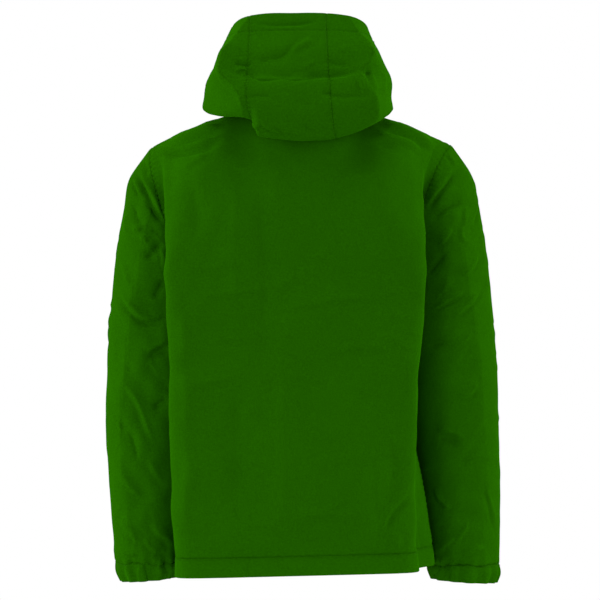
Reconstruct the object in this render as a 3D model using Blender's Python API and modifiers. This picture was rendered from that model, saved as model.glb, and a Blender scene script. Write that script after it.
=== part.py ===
"""A hooded pullover anorak, filled out as if worn by nobody, built from the pieces that are sewn together.

Blender 4.5, metres, +Z up. The front faces -Y and the wearer's left is +X. The origin is the middle of the
neck, level with the shoulders, where a wearer holds the garment up.

The tables and shape functions work in millimetres and cloth() turns them into metres. Each cloth piece is an
open surface through sections worked out from these tables, which Solidify makes a wall. The body is cut from
level sections up to the armpit and from curves over the shoulder above it. A sleeve is a tube of rings that
starts at the armhole, and the hood is a pile of rings from the neck seam, down over the back, up the outside
and in at a deep fold, to the rim of the face opening.
"""
import math
from collections import namedtuple

import bmesh
import bpy
import numpy as np

# ------------------------------------------------------------------ driving dimensions, in millimetres
MM = 0.001

CLOTH = 1.5                 # shell cloth
BAND = 2.4                  # hem band and cuffs, where the cloth is folded double
TAPE = 1.0                  # zip tape
SEAM_GAP = 0.4              # between the edges of two pieces that are sewn together
WIDEST_PULL = 2.6           # most that an edge is drawn in at a seam where two pieces meet at a sharp angle

NECK_HALF_WIDTH = 82.0
SHOULDER_POINT_LEFT = (231.6, -8.0, -55.6)
SHOULDER_POINT_RIGHT = (235.0, -8.0, -51.1)
ARMPIT_Z = -252.0
HEM_TOP_Z = -676.5          # where the panels end and the hem band begins
HEM_BAND = 28.5             # height of the hem band
HEM_TILT = -0.025           # the hem hangs this much lower for each millimetre to the left
HEM_TILT_ENDS = -330.0      # above this height the sections are level
HEM_TILT_GROWS = 300.0      # height over which the tilt grows to its full value
SHOULDER_TURN = 0.94        # share of the shoulder seam that lies inside the roll
SHOULDER_BOW = 4.5          # how far the shoulder seam bows up between the neck and the shoulder point

ZIP_SLOT_HALF = 5.0         # half the gap between the front edges
ZIP_FOOT_Z = -305.0         # lower end of the front opening
CHAIN_HALF = 2.3            # half the width of the closed teeth
CHAIN_THICK = 2.4
TAPE_REACH = 11.0           # how far from the middle a tape reaches behind the front
TAPE_DEPTH = 1.85           # from the middle of the front's wall to the middle of the tape
TAPE_TAIL = 0.2             # share of the row below the opening down which the tapes run on
CHAIN_FOOT = 6.0            # lowest tooth above the foot of the opening
STOP_SIZE = (7.0, 1.2, 4.0)
STOP_HEIGHT = 3.0           # middle of the stop above the foot of the opening
SLIDER_Z = -26.0
SLIDER_SIZE = (8.6, 1.2, 12.0)      # each of the two plates
SLIDER_MOUTH = 3.4          # inside depth between the plates
CHAIN_IN_SLIDER = 0.7       # how far above the slider's middle the teeth end
POST_WIDTH = 2.6
POST_SPAN = (1.0, 5.0)      # heights above the slider's middle
BRIDGE_SIZE = (2.0, 3.8, 9.0)
BRIDGE_WALL = 1.0
PIVOT_HEIGHT = 1.4          # pull tab's axis in front of the slider's front plate
TAB_THICK = 1.4
TAB_EYE_WIDTH = 3.4         # the hole that takes the bridge
TAB_EYE_FOOT = 7.5          # lower end of the hole below the axis
TAB_NECK_WIDTH = 6.0
TAB_WIDTH = 7.6
TAB_FOOT = 34.0
HARD_BEVEL = 0.25

# Shares of a panel's width, from its middle (0) to its edge (1), where a feature of the cut lies.
MIDDLE_ROUNDING = 0.06      # from a panel's middle, within which the speeds of its columns level out
NECK_SHARE = 0.22           # end of the neckline, start of the shoulder seam
ROLL_SHARE = 0.75           # where the panel rolls over towards the arm

# ------------------------------------------------------------------ tables, in millimetres
# Level sections of the body. back and chest are the middles of the two panels. Each panel is widest at its
# roll, then turns in to the side seam, where the arm presses the cloth. square_left and square_right say how
# square the back is on either side: 2 is an ellipse, and more is flatter with a tighter roll.
BodySection = namedtuple(
    "BodySection",
    "z back back_roll_y back_left back_right seam_y seam_left seam_right"
    " chest_roll_y chest_left chest_right chest square_left square_right")
BODY = [
    BodySection(-710, 123, 58, 186, 177, 8, 178, 203, -62, 180, 194, -128, 7, 8),
    BodySection(-676, 122, 60, 188, 176, 8, 173, 204, -66, 179, 194, -132, 7, 8),
    BodySection(-640, 126, 62, 191, 175, 8, 168, 199, -72, 177, 190, -137, 7, 8),
    BodySection(-577, 127, 63, 194, 173, 8, 164, 189, -76, 175, 184, -139, 7, 9),
    BodySection(-535, 127, 63, 195, 175, 8, 162, 181, -78, 175, 180, -139, 7, 10),
    BodySection(-467, 126, 63, 196, 177, 8, 161, 169, -80, 174, 177, -138, 8, 12),
    BodySection(-387, 126, 63, 196, 179, 8, 160, 161, -82, 173, 175, -137, 9, 12),
    BodySection(-300, 127, 62, 201, 187, 4, 160, 158, -84, 174, 174, -137, 11, 12),
    BodySection(ARMPIT_Z, 127, 61, 204, 189, -2, 164, 162, -84, 178, 178, -136, 12, 12),
]
FRONT_SQUARENESS = 3.6      # of the front, likewise

# Above the armpit each column of a panel is one cubic curve to the neckline or the shoulder seam. The table
# gives its speed where it leaves the armpit level (rise) and where it arrives (arrive). The wearer's right
# has its own x speeds, since the roll and the armhole lie further in there.
ColumnPull = namedtuple(
    "ColumnPull", "across rise_x rise_y rise_z arrive_x arrive_y arrive_z right_rise_x right_arrive_x")
BACK_COLUMNS = [
    ColumnPull(0.00, 0, 0, 230, 0, -120, 180, 0, 0),
    ColumnPull(NECK_SHARE, 0, 20, 255, -6, -265, 60, 0, -6),
    ColumnPull(0.30, 0, 30, 260, -2, -325, 30, 0, 0),
    ColumnPull(0.40, 0, 20, 262, -2, -310, 22, 0, 4),
    ColumnPull(0.50, 0, 0, 265, 0, -265, 20, 0, 10),
    ColumnPull(ROLL_SHARE, -10, 0, 190, 75, -220, 35, 0, 165),
    ColumnPull(1.00, 105, 160, 120, -20, -150, 90, 25, 110),
]
FRONT_COLUMNS = [
    ColumnPull(0.00, 0, 0, 150, 0, 40, 150, 0, 0),
    ColumnPull(NECK_SHARE, 0, 0, 240, -6, 150, 110, 0, -6),
    ColumnPull(0.50, 0, 0, 265, 0, 225, 25, 0, 10),
    ColumnPull(ROLL_SHARE, -10, 0, 195, 75, 120, 35, 0, 150),
    ColumnPull(1.00, 85, -135, 120, -20, 140, 90, 25, 110),
]

# Rings of the sleeves: the outer and inner end of each ring, its middle, half its depth, the share of its
# outer half at which the cloth turns a corner towards the outer end, and how much of that corner it has
# (0 is an ellipse, 1 is the folded section alone).
SleeveRing = namedtuple("SleeveRing", "outer_x outer_z inner_x inner_z mid_y half_depth corner fold")
SLEEVE_LEFT = [
    SleeveRing(262, -99, 178, -258, -7, 46, 0.25, 0.6),
    SleeveRing(274, -150, 172, -280, -11, 52, 0.30, 0.6),
    SleeveRing(284, -212, 168, -312, -16, 57, 0.38, 0.6),
    SleeveRing(293, -285, 167, -360, -21, 62, 0.48, 0.6),
    SleeveRing(299.5, -375, 169, -425, -25, 63, 0.55, 0.5),
    SleeveRing(302.5, -465, 173, -497, -34, 60, 0.62, 0.4),
    SleeveRing(299.5, -560, 180, -578, -43, 56, 0.60, 0.35),
    SleeveRing(294, -640, 186, -648, -51, 50, 0.50, 0.35),
    SleeveRing(289, -701, 190, -701, -56, 44, 0.35, 0.3),
]
SLEEVE_RIGHT = [
    SleeveRing(267, -101, 178, -256, -7, 46, 0.25, 0.5),
    SleeveRing(280, -156, 172, -280, -11, 52, 0.35, 0.5),
    SleeveRing(290, -218, 169, -312, -16, 57, 0.45, 0.5),
    SleeveRing(298, -290, 169, -360, -21, 62, 0.52, 0.4),
    SleeveRing(306, -380, 172, -425, -25, 63, 0.60, 0.3),
    SleeveRing(310, -480, 180.5, -505, -34, 60, 0.62, 0.25),
    SleeveRing(313, -570, 191, -585, -43, 56, 0.65, 0.2),
    SleeveRing(313, -645, 198, -652, -51, 51, 0.50, 0.2),
    SleeveRing(312, -704, 203, -704, -56, 46, 0.35, 0.2),
]
CUFF_LEFT = [
    SleeveRing(288.5, -701.8, 190.5, -701.8, -56, 43.5, 0.35, 0.3),
    SleeveRing(287, -717, 190, -714, -56, 43, 0.30, 0.3),
    SleeveRing(280, -732, 195, -725, -56, 40, 0.25, 0.3),
]
CUFF_RIGHT = [
    SleeveRing(311.5, -704.8, 203.5, -704.8, -56, 45.5, 0.35, 0.2),
    SleeveRing(312, -720, 202, -714, -56, 45, 0.30, 0.2),
    SleeveRing(307, -734, 207, -727, -56, 42, 0.25, 0.2),
]
CUFF_GATHERS = 13           # puckers round an elastic cuff
CUFF_GATHER_SHARE = 0.04    # their depth, as a share of the cuff's half width
CUFF_GATHER_GROWTH = (0.6, 1.0, 1.4)    # of that, at each of the cuff's rings

# Rings of the hood, in the order in which the cloth runs from the neck seam to the rim. Each has the height
# and depth of its front, side and back, its reach to the left and right, where the two long seams cross it,
# how square its back is, how far its left quarter is hitched up, how much of a folded section it is (0 to 1),
# where that section's corners lie, and how deep its middle is dented.
HoodRing = namedtuple(
    "HoodRing",
    "front_y front_z side_y side_z back_y back_z left right seam_left seam_right square hitch"
    " folded fold_left fold_right dent")
HOOD = [
    HoodRing(-92, -72, -5, 14, 72, -8, 82, 82, 44, -30, 2.0, 0, 0, 66, 66, 0),            # neck seam
    HoodRing(-94, -66, -5, 26, 80, 6, 90, 89, 50, -34, 2.0, 0, 0, 72, 72, 0),             # top of the stand
    HoodRing(-96, -60, 0, 22, 97, -12, 110, 108, 58, -40, 2.0, 6, 0.2, 80, 88, 0),        # falls back
    HoodRing(-98, -54, 4, 8, 119, -51, 129, 130, 70, -53, 2.0, 22, 0.7, 85, 108, 0),      # bottom fold
    HoodRing(-99, -48, 10, 8, 134, -35, 149, 143, 76, -51, 2.1, 20, 1, 86, 116, 0),
    HoodRing(-100, -42, 16, 26, 142, -5, 148, 141, 80, -48, 2.3, 8, 1, 90, 116, 0),       # lower tier
    HoodRing(-101, -37, 20, 44, 137, 22, 145, 142, 81, -46, 2.3, 2, 1, 99, 106, 0),
    HoodRing(-101, -33, 22, 57, 130, 40, 140, 139, 80, -45, 2.3, 0, 1, 116, 94, 0),
    HoodRing(-101, -29, 22, 68, 124, 47, 134, 134, 80, -44, 2.3, 0, 1, 120, 92, 3),       # fold between tiers
    HoodRing(-101, -26, 22, 78, 118, 63, 130, 129, 79, -43, 2.4, 0, 1, 119, 104, 2),      # upper tier
    HoodRing(-101, -23, 22, 92, 108, 90, 123, 122, 78, -42, 2.5, 0, 1, 112, 109, 1),
    HoodRing(-101, -18, 24, 106, 84, 118, 115, 113, 77, -41, 2.7, 0, 1, 95, 90, 0),       # rim stitching
    HoodRing(-101, -12, 26, 119, 68, 146, 107, 105, 77, -40, 2.8, 0, 1, 75, 73, 0),       # rim
]
CORNER_CRISPNESS = 1.12     # of a folded section: 1 is a sharp corner where the cloth turns away, 2 is none
SIDE_ROUNDNESS = 1.5        # how round the end of a folded section is, past its corner
SECTION_BOW = 0.05          # how much it bows between its corners
DENT_FADE = 30.0            # width over which the dent between the hood's tiers ends before the corners
SLEEVE_INSIDE = 2.5         # how full its inner half is: 2 is an ellipse
SIDE_SOFTNESS = 0.2         # how gradually a ring's front and back halves meet at its side
FRONT_HUG = 3.0             # how long the front of the hood hugs the neck before it spreads
HITCH_FROM_X = 62.0         # the hitch in the hood's left quarter grows from here
HITCH_TO_X = 74.0           # to here
HITCH_ENDS_X = 160.0        # and fades out towards here
HITCH_FADE = 80.0           # over this width
HITCH_REACH = 0.2           # cosine up to which the hitch reaches round to the front
FRONT_DROP = 4.0            # rings from the neck over which the front comes to hang straight down
FRONT_DROP_MOST = 1.7       # power of the cosine that shapes it there

# How finely each piece is cut into faces.
BODY_ROWS = (-676.5, -640, -590, -535, -467, -387, -305, ARMPIT_Z)
RISE_STEPS = (0.0, 0.13, 0.27, 0.42, 0.57, 0.71, 0.83, 0.93, 1.0)
FRONT_QUARTER_FACES = 4     # hood, zip edge to side
BACK_QUARTER_FACES = 4      # hood, side to long seam
CENTRE_FACES = 4            # hood, between the long seams
SHOULDER_FACES = 3
ROLL_FACES = 3
FACES_PER_RING_STEP = 2
SLEEVE_STEPS = (0, 0.5, 1, 1.5, 2, 2.5, 3, 4, 5, 6, 7, 8, 9)     # 0 is the armhole, 9 the cuff's seam

GREEN = (0.012, 0.088, 0.0006, 1.0)
DARK_GREEN = (0.008, 0.062, 0.0006, 1.0)
BRASS = (0.30, 0.27, 0.20, 1.0)
CLOTH_ROUGHNESS = 0.85
METAL_ROUGHNESS = 0.35


# ------------------------------------------------------------------ reading the tables
def through(knots, values, at):
    """Cubic curve through the rows of a table. Slopes come from the rows on either side."""
    knots = np.asarray(knots, float)
    values = np.asarray(values, float)
    at = np.clip(np.asarray(at, float), knots[0], knots[-1])
    slopes = np.gradient(values, knots, axis=0)
    row = np.clip(np.searchsorted(knots, at, side="right") - 1, 0, len(knots) - 2)
    step = knots[row + 1] - knots[row]
    share = (at - knots[row]) / step
    if values.ndim > 1:
        share = share[..., None]
        step = step[..., None]
    rest = 1.0 - share
    return ((1.0 + 2.0 * share) * rest ** 2 * values[row]
            + share * rest ** 2 * step * slopes[row]
            + share ** 2 * (3.0 - 2.0 * share) * values[row + 1]
            - share ** 2 * rest * step * slopes[row + 1])


def column(table, field):
    """One named column of a table, as an array."""
    return np.array([getattr(row, field) for row in table], float)


def ease(share):
    """0 to 1 with level ends."""
    share = np.clip(share, 0.0, 1.0)
    return share * share * (3.0 - 2.0 * share)


def unit(vectors):
    """The same directions with length one."""
    return vectors / np.linalg.norm(vectors, axis=-1, keepdims=True)


def seam_pulls(edge, inside_a, inside_b):
    """How two pieces that share an edge are drawn in along themselves, each towards its own inside points.

    Each is drawn in square to the edge. Half the seam gap is divided by the sine of half the angle between
    the pieces, and half a wall by its tangent, so that their walls clear each other by the gap at any angle.
    """
    along = unit(np.gradient(edge, axis=0))
    run_a = inside_a - edge
    run_b = inside_b - edge
    run_a = unit(run_a - along * (run_a * along).sum(axis=-1, keepdims=True))
    run_b = unit(run_b - along * (run_b * along).sum(axis=-1, keepdims=True))
    cosine = (run_a * run_b).sum(axis=-1, keepdims=True)
    sine_of_half = np.sqrt(np.maximum(1.0 - cosine, 1e-6) / 2.0)
    cosine_of_half = np.sqrt(np.maximum(1.0 + cosine, 0.0) / 2.0)
    pull = (SEAM_GAP / 2 + CLOTH / 2 * cosine_of_half) / sine_of_half
    pull = np.minimum(pull, WIDEST_PULL)
    return run_a * pull, run_b * pull


def soft_ramp(value):
    """0 at -1 and nearly 0 below zero, close to the value itself above zero, with a soft bend between."""
    lowest = math.hypot(1.0, SIDE_SOFTNESS) - 1.0
    return (value + np.sqrt(value ** 2 + SIDE_SOFTNESS ** 2) - lowest) / 2.0


# ------------------------------------------------------------------ hood rings and the neck
def turned(out, corner):
    """Depth of a folded section, 1 in its middle (out = 0) and 0 at its side (out = 1).

    It bows slightly as far as the corner, then falls nearly straight, with a rounded end.
    """
    beyond = np.clip((out - corner) / (1.0 - corner), 0.0, 1.0)
    return (1.0 - beyond ** CORNER_CRISPNESS) ** (1.0 / SIDE_ROUNDNESS) * (1.0 - SECTION_BOW * out ** 2)


def hood_points(way, angle):
    """Points of the hood. way is a row number of HOOD, with fractions between rows; angle runs from the
    front (0) by the left (90 degrees) to the back and round.

    A ring's back half is a squared ellipse from side to side, or a folded section where the ring says so, and
    its front half an ellipse that hugs the neck near the zip. Height and depth go from the side's values to
    the front's and the back's with the cosine. Between its corners the back is dented where the two tiers
    meet.
    """
    knots = np.arange(len(HOOD))
    ring = {field: through(knots, column(HOOD, field), way) for field in HoodRing._fields}
    sine = np.abs(np.sin(angle))
    to_back = soft_ramp(-np.cos(angle)) ** (2.0 / ring["square"])
    to_front = soft_ramp(np.cos(angle))
    reach = np.where(np.sin(angle) >= 0.0, ring["left"], ring["right"])
    corner = np.where(np.sin(angle) >= 0.0, ring["fold_left"], ring["fold_right"]) / reach
    out = np.clip(1.0 - to_back ** ring["square"], 0.0, 1.0) ** (1.0 / ring["square"])
    depth = to_back + (turned(out, corner) - to_back) * ring["folded"] * (np.cos(angle) < 0.0)
    dent = ring["dent"] * ease((corner - out) * reach / DENT_FADE) * (np.cos(angle) < 0.0)
    hugging = NECK_HALF_WIDTH + (reach - NECK_HALF_WIDTH) * sine ** (2.0 * FRONT_HUG)
    half_width = np.where(np.cos(angle) > 0.0, hugging * sine, reach * sine ** (2.0 / ring["square"]))
    x = half_width * np.sign(np.sin(angle))
    y = (ring["side_y"] + (ring["back_y"] - ring["side_y"]) * depth - dent
         + (ring["front_y"] - ring["side_y"]) * to_front)
    lowered_front = to_front ** np.clip(1.0 + way / FRONT_DROP, 1.0, FRONT_DROP_MOST)
    z = (ring["side_z"] + (ring["back_z"] - ring["side_z"]) * to_back
         + (ring["front_z"] - ring["side_z"]) * lowered_front)
    hitched = ease((x - HITCH_FROM_X) / (HITCH_TO_X - HITCH_FROM_X)) * ease((HITCH_ENDS_X - x) / HITCH_FADE)
    z = z + ring["hitch"] * hitched * (np.cos(angle) < HITCH_REACH)
    return np.stack(np.broadcast_arrays(x, y, z), axis=-1)


def angle_at(way, x):
    """The angle at which a back half of the hood has the given x."""
    knots = np.arange(len(HOOD))
    reach = through(knots, column(HOOD, "left" if x > 0.0 else "right"), way)
    square = through(knots, column(HOOD, "square"), way)
    turn = np.arcsin((abs(x) / reach) ** (square / 2.0))
    return math.pi - turn if x > 0.0 else math.pi + turn


def hood_angles(way):
    """The columns of the whole hood on one ring: zip edge, left side, long seams, right side, zip edge."""
    knots = np.arange(len(HOOD))
    seam_left = angle_at(way, float(through(knots, column(HOOD, "seam_left"), way)))
    seam_right = angle_at(way, float(through(knots, column(HOOD, "seam_right"), way)))
    edge = math.asin(ZIP_SLOT_HALF / NECK_HALF_WIDTH)
    stops = (edge, math.pi / 2, seam_left, seam_right, 3 * math.pi / 2, 2 * math.pi - edge)
    faces = (FRONT_QUARTER_FACES, BACK_QUARTER_FACES, CENTRE_FACES, BACK_QUARTER_FACES, FRONT_QUARTER_FACES)
    angles = [stops[0]]
    for start, stop, count in zip(stops[:-1], stops[1:], faces):
        angles.extend(start + (stop - start) * k / count for k in range(1, count + 1))
    return np.array(angles)


def neckline(angle):
    """The body's neck edge: the hood's first ring."""
    return hood_points(np.zeros_like(angle), angle)


# ------------------------------------------------------------------ body
def panel_columns(face):
    """Signed shares of the panel's width, wearer's right to left, and which of them edge the zip."""
    angles = hood_angles(0.0)
    if face == "back":
        middle = [(math.pi - a) / (math.pi / 2) * NECK_SHARE for a in angles
                  if math.pi / 2 - 1e-6 < a < 3 * math.pi / 2 + 1e-6]
    else:
        middle = [a / (math.pi / 2) * NECK_SHARE for a in angles if a < math.pi / 2 + 1e-6]
        middle = middle + [-share for share in middle]
    shoulder = [NECK_SHARE + (ROLL_SHARE - NECK_SHARE) * k / SHOULDER_FACES
                for k in range(1, SHOULDER_FACES + 1)]
    roll = [ROLL_SHARE + (1.0 - ROLL_SHARE) * k / ROLL_FACES for k in range(1, ROLL_FACES + 1)]
    outer = shoulder + roll
    return np.array(sorted(middle + outer + [-share for share in outer]))


def section_point(face, z, across):
    """Points of a panel below the armpit, at height z and at a signed share of the panel's width.

    From the middle to the roll: a quarter of a squared ellipse. From the roll to the side seam: x goes from
    one to the other with level ends, y evenly.
    """
    heights = column(BODY, "z")
    part = {field: through(heights, column(BODY, field), z) for field in BodySection._fields}
    left = across >= 0.0
    middle_y, roll_y = (part["back"], part["back_roll_y"])
    roll_x = np.where(left, part["back_left"], part["back_right"])
    if face == "front":
        middle_y, roll_y = (part["chest"], part["chest_roll_y"])
        roll_x = np.where(left, part["chest_left"], part["chest_right"])
    seam_x = np.where(left, part["seam_left"], part["seam_right"])
    size = np.abs(across)
    swing = np.sin(np.clip(size / ROLL_SHARE, 0.0, 1.0) * math.pi / 2)
    square = np.where(left, part["square_left"], part["square_right"]) if face == "back" else FRONT_SQUARENESS
    bow = np.clip(1.0 - swing ** square, 0.0, 1.0) ** (1.0 / square)
    past = np.clip((size - ROLL_SHARE) / (1.0 - ROLL_SHARE), 0.0, 1.0)
    x = roll_x * swing + (seam_x - roll_x) * ease(past)
    y = roll_y + (middle_y - roll_y) * bow + (part["seam_y"] - roll_y) * past
    tilt = HEM_TILT * x * np.sign(across) * ease((HEM_TILT_ENDS - z) / HEM_TILT_GROWS)
    return np.stack(np.broadcast_arrays(x * np.sign(across + 1e-12), y, z + tilt), axis=-1)


def top_edge(face, across):
    """The neckline up to NECK_SHARE, then the shoulder seam out to the shoulder point."""
    size = np.abs(across)
    turn = np.clip(size / NECK_SHARE, 0.0, 1.0) * math.pi / 2
    angle = np.where(across >= 0.0, math.pi - turn, math.pi + turn) if face == "back" else \
        np.where(across >= 0.0, turn, 2 * math.pi - turn)
    neck = neckline(angle)
    points = []
    for x_sign, shoulder in ((1.0, SHOULDER_POINT_LEFT), (-1.0, SHOULDER_POINT_RIGHT)):
        neck_end = neckline(np.array([math.pi / 2 if x_sign > 0 else 3 * math.pi / 2]))[0]
        tip = np.array(shoulder) * (x_sign, 1.0, 1.0)
        reach = np.interp(size, (NECK_SHARE, ROLL_SHARE, 1.0), (0.0, SHOULDER_TURN, 1.0))
        bow = SHOULDER_BOW * np.sin(math.pi * reach)[..., None] * np.array((0.0, 0.0, 1.0))
        points.append(neck_end + (tip - neck_end) * reach[..., None] + bow)
    seam = np.where(across[..., None] >= 0.0, points[0], points[1])
    return np.where(size[..., None] <= NECK_SHARE, neck, seam)


def column_speed(table, stem, across):
    """The speeds of a panel's columns, rise or arrive. The wearer's right takes its x from its own field."""
    size = np.clip(np.hypot(across, MIDDLE_ROUNDING), 0.0, 1.0)
    knots = column(table, "across")
    x, y, z = (through(knots, column(table, stem + "_" + axis), size) for axis in "xyz")
    right_x = through(knots, column(table, "right_" + stem + "_x"), size)
    return np.stack([np.where(across >= 0.0, x, -right_x), y, z], axis=-1)


def rising_point(face, share, across):
    """Points above the armpit: cubic curves from the armpit level to the top edge."""
    table = BACK_COLUMNS if face == "back" else FRONT_COLUMNS
    rise = column_speed(table, "rise", across)
    arrive = column_speed(table, "arrive", across)
    start = section_point(face, np.full_like(across, ARMPIT_Z), across)
    end = top_edge(face, across)
    t = np.asarray(share, float)[..., None]
    return ((1 + 2 * t) * (1 - t) ** 2 * start + t * (1 - t) ** 2 * rise
            + t ** 2 * (3 - 2 * t) * end - t ** 2 * (1 - t) * arrive)


def panel_grid(face):
    """Rows from the hem up to the top edge, columns from the wearer's right to left."""
    across = panel_columns(face)
    level = [section_point(face, np.full_like(across, z), across) for z in BODY_ROWS]
    rising = [rising_point(face, np.full_like(across, t), across) for t in RISE_STEPS[1:]]
    grid = np.array(level + rising)
    if face == "front":
        middle = len(across) // 2
        grid[:, middle - 1, 0] = -ZIP_SLOT_HALF
        grid[:, middle, 0] = ZIP_SLOT_HALF
    return grid


def hem_grid():
    """The hem band's rows from its lower edge up, all round: along the back, then back along the front."""
    back = panel_columns("back")
    front = panel_columns("front")[-2:0:-1]
    rows = []
    for share in (1.0, 0.5, 0.0):
        z = HEM_TOP_Z - share * HEM_BAND
        rows.append(np.concatenate([section_point("back", np.full_like(back, z), back),
                                    section_point("front", np.full_like(front, z), front)]))
    return np.array(rows)


# ------------------------------------------------------------------ sleeves and cuffs
def armhole(side, share, face):
    """Edge of a panel at the armhole: share 0 at the armpit, 1 at the shoulder point."""
    return rising_point(face, share, np.full_like(share, 1.0 * side))


def ring_points(ring, side, angle):
    """A sleeve ring: half an ellipse from the inner end, a folded section to the outer end (angle 0).

    The back, +Y, is at 90 degrees.
    """
    outer = np.array((ring.outer_x * side, ring.mid_y, ring.outer_z))
    inner = np.array((ring.inner_x * side, ring.mid_y, ring.inner_z))
    middle = (outer + inner) / 2
    cosine = np.cos(angle)[..., None]
    round_half = np.sqrt(1.0 - cosine ** 2)
    far_half = round_half + (turned(np.clip(cosine, 0.0, 1.0), ring.corner) - round_half) * ring.fold
    near_half = (1.0 - np.abs(cosine) ** SLEEVE_INSIDE) ** (1.0 / SLEEVE_INSIDE)
    sine = np.sign(np.sin(angle))[..., None] * np.where(cosine > 0.0, far_half, near_half)
    return middle + (outer - inner) / 2 * cosine + np.array((0.0, ring.half_depth, 0.0)) * sine


def sleeve_angles():
    """Shoulder point (0), back, armpit, front: at the same places as the rows of the two panels."""
    shares = np.array(RISE_STEPS)
    back = math.pi * (1.0 - shares[::-1])
    front = math.pi * (1.0 + shares[1:-1])
    return np.concatenate([back, front])


def sleeve_grid(side, rings):
    """A tube from the armhole's edge through the rings to the cuff's seam."""
    shares = np.array(RISE_STEPS)
    angles = sleeve_angles()
    edge = np.concatenate([armhole(side, shares[::-1], "back"), armhole(side, shares[1:-1], "front")])
    stations = np.array([edge] + [ring_points(ring, side, angles) for ring in rings])
    length = np.concatenate([[0.0], np.cumsum(np.linalg.norm(
        np.diff(stations.mean(axis=1), axis=0), axis=-1))])
    at = np.interp(SLEEVE_STEPS, np.arange(len(length)), length)
    return through(length, stations.reshape(len(length), -1), at).reshape(len(at), -1, 3)


def cuff_grid(side, rings):
    """An elastic band: rings with even puckers, deeper at the free edge."""
    angles = np.arange(3 * CUFF_GATHERS) * 2 * math.pi / (3 * CUFF_GATHERS)
    rows = []
    for ring, growth in zip(rings, CUFF_GATHER_GROWTH):
        points = ring_points(ring, side, angles)
        middle = points.mean(axis=0)
        pucker = 1.0 + CUFF_GATHER_SHARE * growth * np.cos(CUFF_GATHERS * angles)[:, None]
        rows.append(middle + (points - middle) * pucker)
    return np.array(rows)


# ------------------------------------------------------------------ hood
def hood_grid():
    """Rows from the neck seam to the rim, columns from the left zip edge round to the right one."""
    ways = np.arange(0, len(HOOD) - 1 + 1e-9, 1.0 / FACES_PER_RING_STEP)
    rows = []
    for way in ways:
        angles = hood_angles(way)
        points = hood_points(np.full_like(angles, way), angles)
        points[0, 0] = ZIP_SLOT_HALF
        points[-1, 0] = -ZIP_SLOT_HALF
        rows.append(points)
    return np.array(rows)


# ------------------------------------------------------------------ seams
def part_side_and_shoulder_seams(back, front):
    """Draw the two panels apart where they are sewn to each other."""
    level = len(BODY_ROWS)
    for edge, inside in ((0, 1), (-1, -2)):
        pulls = seam_pulls(back[:level, edge], back[:level, inside], front[:level, inside])
        back[:level, edge] += pulls[0]
        front[:level, edge] += pulls[1]
    for side in (1.0, -1.0):
        on_back = panel_columns("back") * side >= NECK_SHARE - 1e-6
        on_front = panel_columns("front") * side >= NECK_SHARE - 1e-6
        pulls = seam_pulls(back[-1, on_back], back[-2, on_back], front[-2, on_front])
        back[-1, on_back] += pulls[0]
        front[-1, on_front] += pulls[1]


def part_armhole(back, front, sleeve, side):
    """Draw a sleeve and the two panels apart round the armhole."""
    edge, inside = (-1, -2) if side > 0 else (0, 1)
    armpit = len(BODY_ROWS) - 1
    last = len(RISE_STEPS) - 1
    around = np.arange(last + 1)
    start = sleeve[0].copy()
    for panel, at in ((back, last - around), (front, (last + around) % sleeve.shape[1])):
        pulls = seam_pulls(start[at], panel[armpit:, inside], sleeve[1, at])
        panel[armpit:, edge] += pulls[0]
        free = slice(None) if panel is back else slice(1, -1)
        sleeve[0, at[free]] += pulls[1][free]


def part_neck_seam(back, front, hood):
    """Draw the hood and the two panels apart along the neckline."""
    left_side = FRONT_QUARTER_FACES
    right_side = hood.shape[1] - 1 - FRONT_QUARTER_FACES
    on_back = np.flatnonzero(np.abs(panel_columns("back")) <= NECK_SHARE + 1e-6)[::-1]
    on_front = np.flatnonzero(np.abs(panel_columns("front")) <= NECK_SHARE + 1e-6)
    half = len(on_front) // 2
    start = hood[0].copy()
    for panel, columns, around in (
            (front, on_front[half:], np.arange(0, left_side + 1)),
            (front, on_front[:half], np.arange(right_side, hood.shape[1])),
            (back, on_back, np.arange(left_side, right_side + 1))):
        pulls = seam_pulls(start[around], panel[-2, columns], hood[1, around])
        panel[-1, columns] += pulls[0]
        hood[0, around] = start[around] + pulls[1]


def part_hem_seam(back, front, hem):
    """Draw the panels and the hem band apart."""
    width = back.shape[1]
    along_back = np.arange(width)
    along_front = np.concatenate([[0], np.arange(hem.shape[1] - 1, width - 1, -1), [width - 1]])
    along_front = along_front[:front.shape[1]]
    start = hem[-1].copy()
    for panel, around in ((back, along_back), (front, along_front)):
        pulls = seam_pulls(start[around], panel[1], hem[-2, around])
        panel[0] += pulls[0]
        hem[-1, around] = start[around] + pulls[1]


def hood_pieces(grid):
    """Two side panels and the strip between them, cut from one surface at the long seams and drawn apart."""
    left_seam = FRONT_QUARTER_FACES + BACK_QUARTER_FACES
    right_seam = left_seam + CENTRE_FACES
    left = grid[:, :left_seam + 1].copy()
    centre = grid[:, left_seam:right_seam + 1].copy()
    right = grid[:, right_seam:].copy()
    pulls = seam_pulls(left[:, -1], left[:, -2], centre[:, 1])
    left[:, -1] += pulls[0]
    centre[:, 0] += pulls[1]
    pulls = seam_pulls(right[:, 0], right[:, 1], centre[:, -2])
    right[:, 0] += pulls[0]
    centre[:, -1] += pulls[1]
    return left, centre, right


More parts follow.
